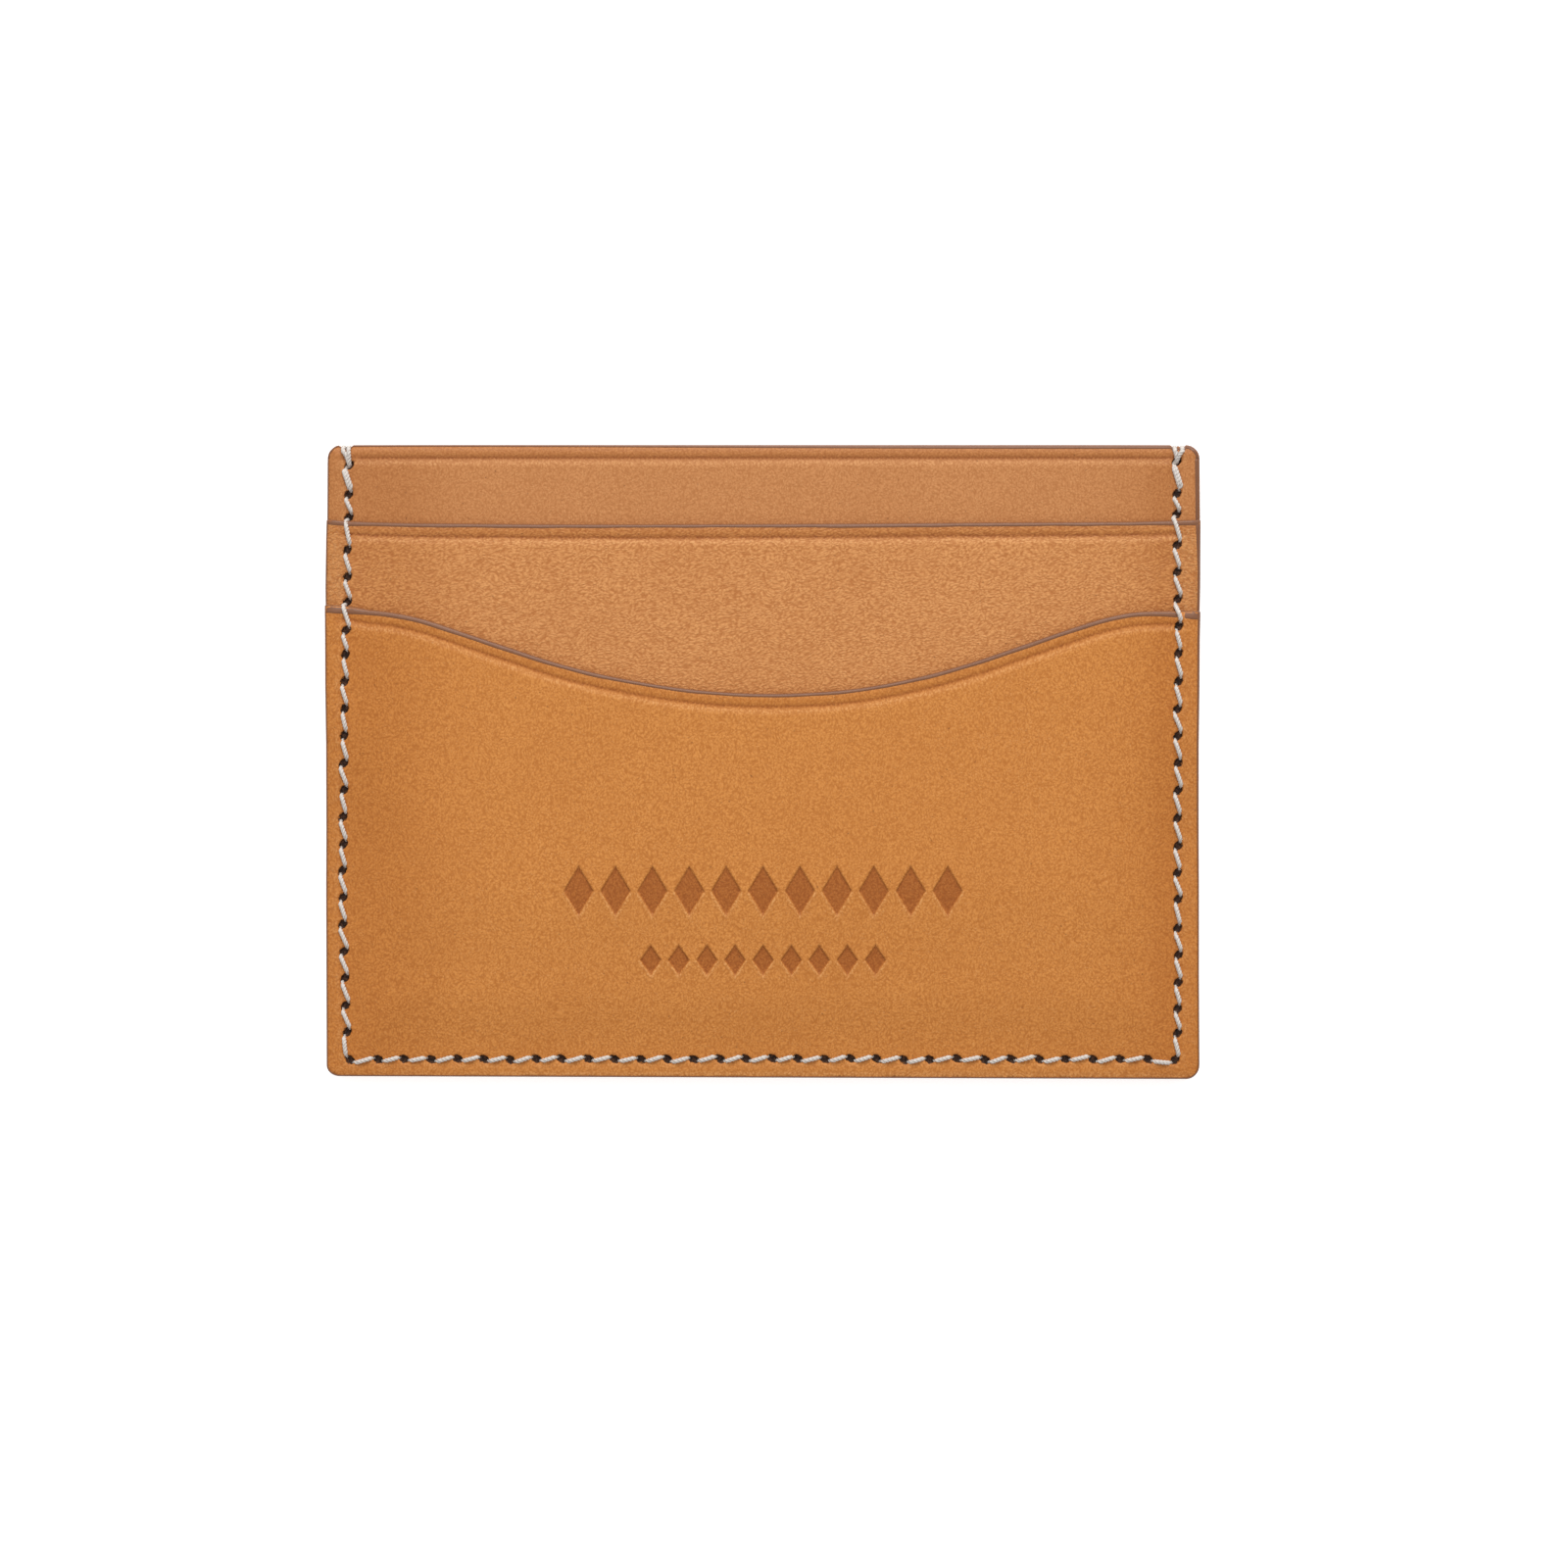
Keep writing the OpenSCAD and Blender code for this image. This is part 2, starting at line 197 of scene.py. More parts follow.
# %% Needle slits
# How far the seam runs from the left, right and bottom edges, in millimetres
LEFT_MARGIN, RIGHT_MARGIN, BOTTOM_MARGIN = 2.4, 2.7, 2.3
LEFT_X = -HALF_W + LEFT_MARGIN
RIGHT_X = HALF_W - RIGHT_MARGIN
SEAM_LOW_Y = BOTTOM_Y + BOTTOM_MARGIN
SIDE_STITCHES = 22
BOTTOM_STITCHES = 31
SLIT_HALF_LENGTH = 0.60
SLIT_HALF_WIDTH = 0.42
SLIT_END = 0.60

# The iron is set again at each mouth, so the first slits are uneven. Each pair below is a slit's number and
# its place, and the slits between two numbers are evenly spaced. Both sides are counted from the top
LEFT_STATIONS = ([0, 1, 2, 3, 4, 5, 6, 7, 22],
                 [33.9, 30.5, 27.95, 24.2, 21.1, 18.3, 14.95, 12.2, SEAM_LOW_Y])
RIGHT_STATIONS = ([0, 1, 2, 3, 4, 19, 22], [34.3, 30.65, 28.3, 24.8, 21.7, -25.2, SEAM_LOW_Y])
BOTTOM_STATIONS = ([0, 1, 22, 31], [LEFT_X + 0.4, -43.9, 19.0, RIGHT_X - 0.3])
# The side seams bow by a few tenths of a millimetre: height, and sideways place
LEFT_BOW = ([-34.0, -31.0, -25.0, -17.0, -8.0, 8.0, 20.0, 34.0],
            [0.4, 0.1, -0.15, -0.4, -0.25, -0.1, 0.1, 0.25])


def hand_marked(stations, count):
    """The places of count slits between the stations."""
    return np.interp(np.arange(count), *stations)


left_y = hand_marked(LEFT_STATIONS, SIDE_STITCHES)
bottom_x = hand_marked(BOTTOM_STATIONS, BOTTOM_STITCHES)
right_y = hand_marked(RIGHT_STATIONS, SIDE_STITCHES + 1)[::-1]
HOLES = np.vstack([
    pairs(LEFT_X + np.interp(left_y, *LEFT_BOW), left_y),
    pairs(bottom_x, SEAM_LOW_Y),
    pairs(np.where(right_y < -33, RIGHT_X - 0.3, RIGHT_X), right_y),
])
# The slit's direction, pointing to the end where the thread of the stitch before goes in
slit_angle = np.radians(np.concatenate([np.full(len(left_y), 52.0), np.full(len(bottom_x), 155.0),
                                        np.full(len(right_y), 232.0)]))
hand = np.random.default_rng(11)
HOLES[1:-1] += hand.normal(0, 0.045, HOLES[1:-1].shape)
slit_angle += np.radians(hand.normal(0, 7, len(slit_angle)))
slit_angle[len(left_y)] = math.radians(140)
SLITS = pairs(np.cos(slit_angle), np.sin(slit_angle))
print("slits:", len(HOLES), "spacing in mm:", round(float(np.linalg.norm(HOLES[11] - HOLES[10])), 2))


def inside_seam(x, y):
    """Signed distance from the seam's line, positive towards the middle of the holder."""
    return np.minimum(np.minimum(x - LEFT_X - np.interp(y, *LEFT_BOW), RIGHT_X - x), y - SEAM_LOW_Y)


def slit_distance(x, y, holes, slits):
    """How far each point is from the nearest slit, where 1 is the slit's own torn rim."""
    away = pairs(x, y)[:, None, :] - holes[None]
    along = (away * slits[None]).sum(-1) / SLIT_HALF_LENGTH
    across = (away[..., 0] * slits[None, :, 1] - away[..., 1] * slits[None, :, 0]) / SLIT_HALF_WIDTH
    torn = 0.10 * np.sin(7.3 * x + 2.1 * y) * np.sin(8.9 * y - 3.1 * x)
    return np.hypot(along, across).min(1) + torn


# %% [markdown]
# ## How the leather lies
# Leather bends softly, so no sheet steps up sharply over the sheet below it. Three things shape each face:
# the slow rise from the sewn margins to the middle, the line that a warm creasing iron presses beside each
# mouth, and the pull of the thread, which sinks the seam a little and the slits a lot. Each is a height to
# add, so they can be read, changed and added one by one.

# %% Heights
RISE_W = 9.0


def smooth(t):
    """From 0 to 1 as t goes from 0 to 1, with level ends."""
    t = np.clip(t, 0, 1)
    return t * t * (3 - 2 * t)


def pillow(x, y):
    """0 at the seam, 1 in the middle of the holder."""
    return smooth(inside_seam(x, y) / RISE_W)


def unevenness(x, y, seed):
    """The slow waves of a real hide, a few hundredths of a millimetre high."""
    rng = np.random.default_rng(seed)
    height = np.zeros(np.shape(x))
    for wavelength in (47.0, 31.0, 19.0, 13.0):
        angle, phase = rng.uniform(0, 2 * math.pi, 2)
        turn = (x * math.cos(angle) + y * math.sin(angle)) * 2 * math.pi / wavelength
        height = height + wavelength / 1900 * np.sin(turn + phase)
    return height - 0.06


# What the creasing iron leaves, from the mouth inwards: distance and height. A flat burnished band, a
# narrow groove, a second flat, and a short step up to the full thickness
IRON_DISTANCE = [0.00, 0.30, 0.60, 1.25, 1.36, 1.46, 1.55, 1.66, 1.92, 2.03, 2.22, 2.50, 3.20]
IRON_HEIGHT = [-0.20, -0.14, -0.09, -0.09, -0.13, -0.22, -0.22, -0.14, -0.12, -0.08, 0.01, 0.01, 0.00]


def creased(distance, x):
    """The pressed band and groove beside a mouth. They fade outside the seams, where the iron was lifted."""
    inner = np.minimum(x - LEFT_X, RIGHT_X - x)
    pressure = 0.15 + 0.85 * smooth(inner / 1.5 + 0.7)
    pressed = np.interp(distance, IRON_DISTANCE, IRON_HEIGHT)
    rolled = -0.12 * smooth((0.95 - distance) / 0.6)
    return np.minimum(pressed * pressure, rolled)


def seam_valley(x, y):
    """The thread's pull sinks the seam a little."""
    return -0.10 * np.exp(-(inside_seam(x, y) / 0.7) ** 2)


def slit_pits(x, y, holes, slits):
    """The slits, and the leather puckered up round them."""
    q = slit_distance(x, y, holes, slits)
    return -0.50 * smooth((1.12 - q) / 0.35) + 0.05 * np.exp(-(((q - 1.7) / 0.45) ** 2))


def rounded_edge(x, y):
    """The margin rolls down a little towards the painted edge."""
    edge = np.minimum(np.minimum(HALF_W - np.abs(x), y - BOTTOM_Y), TOP_Y - y)
    return -0.14 * smooth((1.1 - edge) / 0.9)


def face_of(level, mouth, waves, seed):
    """The face of a sheet without its slits: its level, and what the tools, the thread and the hide add."""
    def face(x, y):
        return (level(x, y) + creased(below(mouth, x, y), x) + seam_valley(x, y) + rounded_edge(x, y)
                + waves * unevenness(x, y, seed) * pillow(x, y))
    return face


print("the hide's waves along the middle, in mm:", np.round(unevenness(np.array([-30, 0, 30]), 0, 3), 3))

# %% [markdown]
# The second pocket's tongue would show as a step through the front pocket. A leather worker skives such an
# edge: a slanted blade takes it down to a quarter of its thickness. So the front pocket rises over it
# gently.

# %% Levels
SKIVED = 0.25


def thick_share(x, y):
    """How thick the second pocket is at a point, as a share: the tongue thins towards its edges."""
    sides = smooth((TONGUE_HALF + 1.0 - np.abs(x)) / 8.0)
    hem = smooth((y - HEM_Y + 1.0) / 14.0)
    tongue = SKIVED + (1 - SKIVED) * sides * hem
    wings = smooth((y - WING_LOW_Y + 16.0) / 16.0)
    return tongue, wings


def centre_level(x, y):
    return CENTRE_TOP + SLOT_GAP * pillow(x, y)


def second_base(x, y):
    return CENTRE_TOP + 2 * SLOT_GAP * pillow(x, y)


def second_level(x, y):
    tongue, wings = thick_share(x, y)
    return second_base(x, y) + SECOND_T * (1 - (1 - tongue) * (1 - wings))


def front_level(x, y):
    """The front pocket bridges the second pocket's T shape, which lies under it."""
    tongue, wings = thick_share(x, y)
    reach = smooth((RIGHT_X - np.abs(x)) / 2.3) * smooth((y - HEM_Y + 7.0) / 7.0)
    under = 1 - (1 - tongue * reach) * (1 - wings)
    return CENTRE_TOP + FRONT_T + SECOND_T * under + 3 * SLOT_GAP * pillow(x, y)


print("front pocket's level at margin and middle, in mm:", np.round(front_level(np.array([49, 0]), 0), 2))


# %% [markdown]
# ## Making a sheet
# A sheet's grain side needs many points where its height changes within a tenth of a millimetre, at the
# creased line and round the slits, and few in its flat middle. An even grid would need a million faces for
# that. So the points are placed in rows along the mouth, rows along the seam, rings round each slit and a
# wide net between, and Delaunay triangulation joins them. The flesh side is the same outline with a coarse
# net.

# %% Points for a sheet


def rows_along(mouth, distances, half_w, spacing):
    """Rows of points beside a mouth, at each distance from it, every second row shifted by half a step."""
    rows = []
    for i, distance in enumerate(distances):
        x = np.arange(-half_w + spacing * (0.5 + 0.5 * (i % 2)), half_w - 0.3 * spacing, spacing)
        slope = slope_of(mouth, x)
        rows.append(pairs(x, mouth(x) - distance * np.sqrt(1 + slope**2)))
    return np.vstack(rows)


# Rings round a slit: size as a share of the slit, and number of points
SLIT_RINGS = ((0, 1), (0.4, 8), (0.66, 12), (0.84, 14), (1.0, 16), (1.18, 16), (1.45, 16), (1.9, 14))


def rings_round(holes, slits):
    """Rings of points round each slit, close together at its rim."""
    rings = []
    for size, count in SLIT_RINGS:
        turn = 2 * math.pi * np.arange(count) / count
        along = (size * SLIT_HALF_LENGTH * np.cos(turn))[:, None]
        across = (size * SLIT_HALF_WIDTH * np.sin(turn))[:, None]
        for hole, slit in zip(holes, slits):
            rings.append(hole + along * slit + across * np.array([slit[1], -slit[0]]))
    return np.vstack(rings)


def net(x_range, y_range, spacing):
    """An even net of points."""
    x, y = np.meshgrid(np.arange(*x_range, spacing), np.arange(*y_range, spacing))
    x = x + 0.25 * spacing * (np.arange(x.shape[0]) % 2)[:, None]
    return pairs(x.ravel(), y.ravel())


# The rows' distances from the seam, and the step along them
SEAM_OFFSETS = (-2.0, -1.85, -1.7, -1.3, -0.95, -0.6, -0.3, 0.0, 0.3, 0.6, 0.95, 1.3, 1.8, 2.4, 3.2)
SEAM_STEP = 0.42


def seam_rows():
    """Rows of points on both sides of the seam's line."""
    rows = []
    for offset in SEAM_OFFSETS:
        y = np.arange(SEAM_LOW_Y + offset, TOP_Y, SEAM_STEP)
        rows += [pairs(LEFT_X + offset, y)]
        rows += [pairs(RIGHT_X - offset, y)]
        x = np.arange(LEFT_X + offset, RIGHT_X - offset, SEAM_STEP)
        rows += [pairs(x, SEAM_LOW_Y + offset)]
    return np.vstack(rows)


print("points in the seam's rows:", len(seam_rows()), "and round its slits:", len(rings_round(HOLES, SLITS)))

# %% Triangles and meshes


def is_inside(outline, points, clearance=0.0):
    """Which points lie inside the outline, and at least clearance from its corners."""
    a, b = outline, np.roll(outline, -1, 0)
    rise = np.where(np.abs(b[:, 1] - a[:, 1]) < 1e-9, 1e-9, b[:, 1] - a[:, 1])
    kept = []
    for chunk in np.array_split(points, max(1, len(points) // 4000)):
        px, py = chunk[:, None, 0], chunk[:, None, 1]
        crosses = (a[:, 1] > py) != (b[:, 1] > py)
        left = px < a[:, 0] + (py - a[:, 1]) * (b[:, 0] - a[:, 0]) / rise
        near = np.hypot(px - a[:, 0], py - a[:, 1]).min(1)
        kept.append(((crosses & left).sum(1) % 2 == 1) & (near >= clearance))
    return np.concatenate(kept)


def fill(outline, inner, clearance):
    """Triangles between the outline and the inner points that are clear of it.

    Where three points of the outline lie almost in line, the test at the end can misjudge the sliver between
    them, which leaves cracks up to 0.002 mm wide: the sheets are not watertight.
    """
    inner = inner[is_inside(outline, inner, clearance)]
    points = [Vector(p) for p in np.vstack([outline, inner])]
    found, _, faces, *_ = delaunay_2d_cdt(points, [], [list(range(len(outline)))], 1, 1e-6, False)
    found = np.array([tuple(p) for p in found])
    faces = np.array([tuple(f) for f in faces])
    return found, faces[is_inside(outline, found[faces].mean(1))]


def make_piece(name, points_mm, faces, materials):
    """A smooth-shaded mesh object from points in millimetres."""
    mesh = bpy.data.meshes.new(name)
    mesh.from_pydata((np.asarray(points_mm) * MM).tolist(), [], faces)
    mesh.polygons.foreach_set("use_smooth", np.ones(len(mesh.polygons), bool))
    piece = bpy.data.objects.new(name, mesh)
    bpy.context.scene.collection.objects.link(piece)
    for material in materials:
        mesh.materials.append(material)
    print(name, len(mesh.vertices), "points,", len(mesh.polygons), "faces")
    return piece


def make_sheet(name, outline, grain_points, grain_z, flesh_z, marks, materials):
    """A sheet of leather: a detailed grain side, a plain flesh side, and the cut edge between them."""
    grain_xy, grain_faces = fill(outline, grain_points, 0.12)
    coarse = net((outline[:, 0].min(), outline[:, 0].max()), (outline[:, 1].min(), outline[:, 1].max()), 2.5)
    flesh_xy, flesh_faces = fill(outline, coarse, 0.8)
    grain = np.column_stack([grain_xy, grain_z(*grain_xy.T)])
    flesh = np.column_stack([flesh_xy, flesh_z(*flesh_xy.T)])
    start, count = len(grain), len(outline)
    here = np.arange(count)
    ahead = (here + 1) % count
    wall = np.stack([here, start + here, start + ahead, ahead], -1)
    flesh_faces = flesh_faces[:, ::-1] + start
    if grain[0, 2] < flesh[0, 2]:
        grain_faces, wall, flesh_faces = grain_faces[:, ::-1], wall[:, ::-1], flesh_faces[:, ::-1]
    faces = grain_faces.tolist() + wall.tolist() + flesh_faces.tolist()
    piece = make_piece(name, np.vstack([grain, flesh]), faces, materials)
    finish = np.zeros(len(faces), int)
    finish[-len(flesh_faces):] = 1
    piece.data.polygons.foreach_set("material_index", finish)
    for mark, value in marks(*grain_xy.T).items():
        layer = piece.data.attributes.new(mark, "FLOAT", "POINT")
        layer.data.foreach_set("value", np.append(value, np.zeros(len(flesh))).astype(np.float32))
    return piece


# %% [markdown]
# ## Marks that the material reads
# Tooling changes the leather's colour, and light and shade are painted in with it. The iron and the maker's
# rubbing darken it (burnish), and painted shade darkens it along the seams and towards the bottom. The
# creased line is darker still, partly scorched and partly painted with its groove's shade. Painted highlights
# lie on the step beside it, on the puckered rims round the slits, below the stamped lozenges and along the
# bottom edge, and each slit is painted dark with the shade inside it. These depend on where a point lies, so
# each sheet stores them on its points, and the leather's material mixes them.

# %% Marks
# How much darker the leather is painted near its edges, partly burnish from handling and partly painted shade
# where the light falls off towards the seams and the bottom: distance from the left, right and bottom edges,
# and share
LEFT_SHADE = ([0, 2, 5, 9, 11, 15, 20], [0.65, 0.7, 0.75, 0.6, 0.42, 0.12, 0])
RIGHT_SHADE = ([0, 2, 3, 5, 6.5, 11, 16], [0.5, 0.6, 0.9, 0.85, 0.45, 0.15, 0])
BOTTOM_SHADE = ([0, 3, 5, 10, 20, 32], [0.3, 0.35, 0.25, 0.1, 0.05, 0])


def burnish_and_painted_shade(x, y):
    """Burnish along the seams, and painted shade along them and towards the bottom."""
    left = np.interp(x + HALF_W, *LEFT_SHADE)
    right = np.interp(HALF_W - x, *RIGHT_SHADE)
    bottom = np.interp(y - BOTTOM_Y, *BOTTOM_SHADE)
    return 1 - (1 - left) * (1 - right) * (1 - bottom)


def mouth_marks(distance, x, y, holes, slits, band_share, wrinkles):
    """How burnished and shaded, creased, pale with painted highlights, pierced and wrinkled the leather is at
    each point.
    """
    outer = smooth(-inside_seam(x, y) / 0.8)
    side = np.minimum(x - LEFT_X, RIGHT_X - x)
    iron = smooth(side / 1.5 + 0.8)
    q = slit_distance(x, y, holes, slits)
    band = band_share * smooth((1.95 - distance) / 0.3)
    # The creased line is painted darker, partly the warm iron's scorch and partly painted shade in its narrow
    # groove
    line = np.exp(-(((distance - 1.5) / 0.12) ** 2)) * iron
    # Painted highlights: a pale line on the step beside the crease that faces the light, partly paler
    # stretched grain, and pale rims puckered round the slits outside the seam
    ridge_highlight = np.exp(-(((distance - 2.08) / 0.15) ** 2)) * iron
    pucker_highlight = np.exp(-(((q - 1.8) / 0.45) ** 2)) * outer
    return {
        "burnish": np.maximum(band, burnish_and_painted_shade(x, y)),
        "crease": line,
        "pale": np.maximum(ridge_highlight, 0.5 * pucker_highlight),
        "pierced": np.clip(1.5 - q, 0, 1),
        "wrinkled": wrinkles * outer,
    }


print("handling 3 mm from the left edge and in the middle:", np.round(burnish_and_painted_shade(np.array([-47, 0]), 0), 2))


# %% [markdown]
# ## Colours and nodes
# Colours are picked as sRGB hex values, as on a swatch, and one function turns them into the linear values
# that the shaders count in. One more small function adds a node with its settings and its links, so that
# each material below reads as a list of its layers. Shape counts in metres here, so a texture whose
# features should be a certain number of millimetres gets a scale of one over that number, on coordinates
# turned into millimetres.

# %% Material helpers


def srgb(code, alpha=1.0):
    """An sRGB hex colour as linear red, green, blue and alpha."""
    parts = [int(code[i:i + 2], 16) / 255 for i in (1, 3, 5)]
    return [c / 12.92 if c <= 0.04045 else ((c + 0.055) / 1.055) ** 2.4 for c in parts] + [alpha]


def add(tree, kind, sockets=None, **settings):
    """Adds a shader node with its settings. A socket takes a value, or a link when given a node's output."""
    node = tree.nodes.new("ShaderNode" + kind)
    for key, value in settings.items():
        setattr(node, key, value)
    for socket, source in (sockets or {}).items():
        if isinstance(source, bpy.types.NodeSocket):
            tree.links.new(source, node.inputs[socket])
        else:
            node.inputs[socket].default_value = source
    return node


def new_material(name):
    """An empty node material and its tree."""
    material = bpy.data.materials.new(name)
    material.use_nodes = True
    material.node_tree.nodes.clear()
    return material, material.node_tree


print("a tan swatch in linear values:", [round(c, 3) for c in srgb("#dc9248")])

# %% [markdown]
# ## Vegetable-tanned calf, grain side
# The real finish is aniline: dye without pigment, so the grain itself makes the colour uneven. To the eye
# that is a warm tan with a fine pebbled grain 0.2 to 0.4 mm across, darker in its valleys, small dark
# pores, a few pale scuffs and a slow mottle over centimetres. The grain is drawn from two textures, a cell
# texture for the pebbles and a stretched noise for the way the hide creases, and both feed the colour and
# the bump. Leather's index of refraction is about 1.5, and its natural satin is a roughness of 0.5 to 0.6.

# %% Leather material
PORE_DARK = "#5a3318"
# Pale for scuffs and flecks, and for the painted highlights
SCUFF_AND_HIGHLIGHT_PALE = "#e6b076"
# Leather darkened by burnish and by painted shade keeps the first share of its red, green and blue; the
# creased line, scorched and painted with its groove's shade, keeps the second
BURNISH_AND_SHADE_TINT = [0.84, 0.75, 0.60, 1]
SCORCH_AND_SHADE_TINT = [0.66, 0.52, 0.40, 1]
# Painted shade inside the slits that the awl tears: dark brown, mottled with a lighter brown
SLIT_SHADE_DARK = "#2a180f"
SLIT_SHADE_LIGHT = "#68432d"
# The sockets of a Mix node for colours: share, lower layer, upper layer and result
SHARE, UNDER, OVER, MIXED = 0, 6, 7, 2


def tanned_calf(name, pale, deep, pebble_mm, pull, pull_angle, relief):
    """Grain-side leather. pull stretches the grain along pull_angle; relief is the strength of the grain."""
    material, tree = new_material(name)
    place = add(tree, "TexCoord").outputs["Object"]
    plain = add(tree, "Mapping", {"Vector": place, "Scale": (1000, 1000, 1000)}).outputs[0]
    drift = add(tree, "TexNoise", {"Vector": plain, "Scale": 1 / 3.0, "Detail": 2.0}).outputs["Color"]
    wavy = add(tree, "VectorMath", {0: drift, 1: (1.6, 1.6, 0), 2: plain}, operation="MULTIPLY_ADD")
    turn = (0, 0, math.radians(pull_angle))
    pulled = add(tree, "Mapping", {"Vector": wavy.outputs[0], "Rotation": turn, "Scale": (pull, 1, 1)},
                 vector_type="TEXTURE").outputs[0]

    # The grain: rounded cells, and folds that run between them
    pebbles = add(tree, "TexVoronoi", {"Vector": pulled, "Scale": 1 / pebble_mm}).outputs["Distance"]
    folds = add(tree, "TexNoise",
                {"Vector": pulled, "Scale": 1 / (0.9 * pebble_mm), "Detail": 2.0}).outputs["Fac"]
    valley = add(tree, "MapRange",
                 {"Value": pebbles, "From Min": 0.20, "From Max": 0.75, "To Max": 0.55}).outputs[0]
    fold = add(tree, "MapRange",
               {"Value": folds, "From Min": 0.32, "From Max": 0.68, "To Max": 0.45}).outputs[0]
    grain = add(tree, "Math", {0: valley, 1: fold}, operation="ADD").outputs[0]
    tone = add(tree, "MapRange", {"Value": grain, "From Min": 0.15, "From Max": 0.85}).outputs[0]

    # Slow mottle, small pale flecks, and pores in one cell out of three
    mottle = add(tree, "TexNoise", {"Vector": plain, "Scale": 1 / 9.0, "Detail": 4.0}).outputs["Fac"]
    slow = add(tree, "MapRange",
               {"Value": mottle, "From Min": 0.35, "From Max": 0.65, "To Max": 0.18}).outputs[0]
    fleck = add(tree, "TexNoise", {"Vector": plain, "Scale": 1 / 0.15, "Detail": 1.0}).outputs["Fac"]
    bright = add(tree, "MapRange",
                 {"Value": fleck, "From Min": 0.60, "From Max": 0.74, "To Max": 0.3}).outputs[0]
    pores = add(tree, "TexVoronoi", {"Vector": wavy.outputs[0], "Scale": 1 / 0.9}).outputs
    chosen = add(tree, "MapRange",
                 {"Value": pores["Color"], "From Min": 0.60, "From Max": 0.75}).outputs[0]
    near = add(tree, "MapRange",
               {"Value": pores["Distance"], "From Min": 0.13, "From Max": 0.04, "To Max": 0.55}).outputs[0]
    pore = add(tree, "Math", {0: chosen, 1: near}, operation="MULTIPLY").outputs[0]

    # The tool marks and the painted highlights. The grain breaks the painted highlight along the ridge into
    # dashes
    marks = {key: add(tree, "Attribute", attribute_name=key).outputs["Fac"]
             for key in ("burnish", "crease", "pale", "pierced", "wrinkled")}
    broken = add(tree, "MapRange",
                 {"Value": grain, "From Min": 0.25, "From Max": 0.60, "To Min": 0.45,
                  "To Max": 0.1}).outputs[0]
    ridge_highlight = add(tree, "Math", {0: marks["pale"], 1: broken}, operation="MULTIPLY").outputs[0]

    # Fine curled wrinkles outside the seam lie where a slow noise crosses its middle value
    curls = add(tree, "TexNoise",
                {"Vector": plain, "Scale": 1 / 0.7, "Detail": 2.0, "Distortion": 1.5}).outputs["Fac"]
    off_middle = add(tree, "Math", {0: curls, 1: 0.5}, operation="SUBTRACT").outputs[0]
    off_middle = add(tree, "Math", {0: off_middle}, operation="ABSOLUTE").outputs[0]
    curl = add(tree, "MapRange",
               {"Value": off_middle, "From Max": 0.035, "To Min": 0.42, "To Max": 0.0}).outputs[0]
    curl = add(tree, "Math", {0: curl, 1: marks["wrinkled"]}, operation="MULTIPLY").outputs[0]

    # A slit has a ragged rim: noise pushes its edge in and out, and the painted shade inside it is mottled
    rag = add(tree, "TexNoise", {"Vector": plain, "Scale": 1 / 0.3, "Detail": 3.0}).outputs["Fac"]
    torn = add(tree, "Math", {0: rag, 1: 1.1, 2: marks["pierced"]}, operation="MULTIPLY_ADD").outputs[0]
    slit = add(tree, "MapRange", {"Value": torn, "From Min": 0.93, "From Max": 1.05}).outputs[0]
    shade_mottle = add(tree, "MapRange", {"Value": rag, "From Min": 0.42, "From Max": 0.68}).outputs[0]
    slit_shade = add(tree, "Mix", {SHARE: shade_mottle, UNDER: srgb(SLIT_SHADE_DARK), OVER: srgb(SLIT_SHADE_LIGHT)},
                data_type="RGBA").outputs[MIXED]

    # Each layer has its share, its colour, and the way it goes over what is under it: covering it or dyeing
    # it
    colour = srgb(pale)
    for share, over, way in (
        (tone, srgb(deep), "MIX"),
        (slow, srgb(deep), "MIX"),
        (bright, srgb(SCUFF_AND_HIGHLIGHT_PALE), "MIX"),
        (pore, srgb(PORE_DARK), "MIX"),
        (marks["burnish"], BURNISH_AND_SHADE_TINT, "MULTIPLY"),
        (marks["crease"], SCORCH_AND_SHADE_TINT, "MULTIPLY"),
        (ridge_highlight, srgb(SCUFF_AND_HIGHLIGHT_PALE), "MIX"),
        (curl, srgb(SCUFF_AND_HIGHLIGHT_PALE), "MIX"),
        (slit, slit_shade, "MIX"),
    ):
        colour = add(tree, "Mix", {SHARE: share, UNDER: colour, OVER: over}, data_type="RGBA",
                     blend_type=way).outputs[MIXED]

    raised = add(tree, "Math", {0: curl, 1: grain}, operation="SUBTRACT").outputs[0]
    bump = add(tree, "Bump", {"Height": raised, "Strength": relief, "Distance": 0.06 * MM}).outputs[0]
    gloss = add(tree, "MapRange", {"Value": marks["burnish"], "To Min": 0.60, "To Max": 0.50}).outputs[0]
    skin = add(tree, "BsdfPrincipled",
               {"Base Color": colour, "Roughness": gloss, "Normal": bump, "IOR": 1.5,
                "Specular IOR Level": 0.3})
    add(tree, "OutputMaterial", {"Surface": skin.outputs[0]})
    return material


CENTRE_CALF = tanned_calf("calf_centre_panel", "#d08e57", "#b77540", 0.24, 1.2, 80, 0.45)
SECOND_CALF = tanned_calf("calf_second_pocket", "#e09d5f", "#b9733a", 0.23, 1.7, 9, 0.8)
FRONT_CALF = tanned_calf("calf_front_pocket", "#dc9248", "#bc722d", 0.24, 1.25, 80, 0.5)
BACK_CALF = tanned_calf("calf_back_panel", "#dc9248", "#bc722d", 0.28, 1.2, 30, 0.5)
print("leather nodes:", len(FRONT_CALF.node_tree.nodes))

# %% [markdown]
# ## The plain finishes
# The flesh side, the paint and the thread are simpler than the grain side, and built alike: one noise
# drifts between two colours, and a noise, the same or a finer one, makes a low bump. One function makes all
# three.

# %% Plain finishes


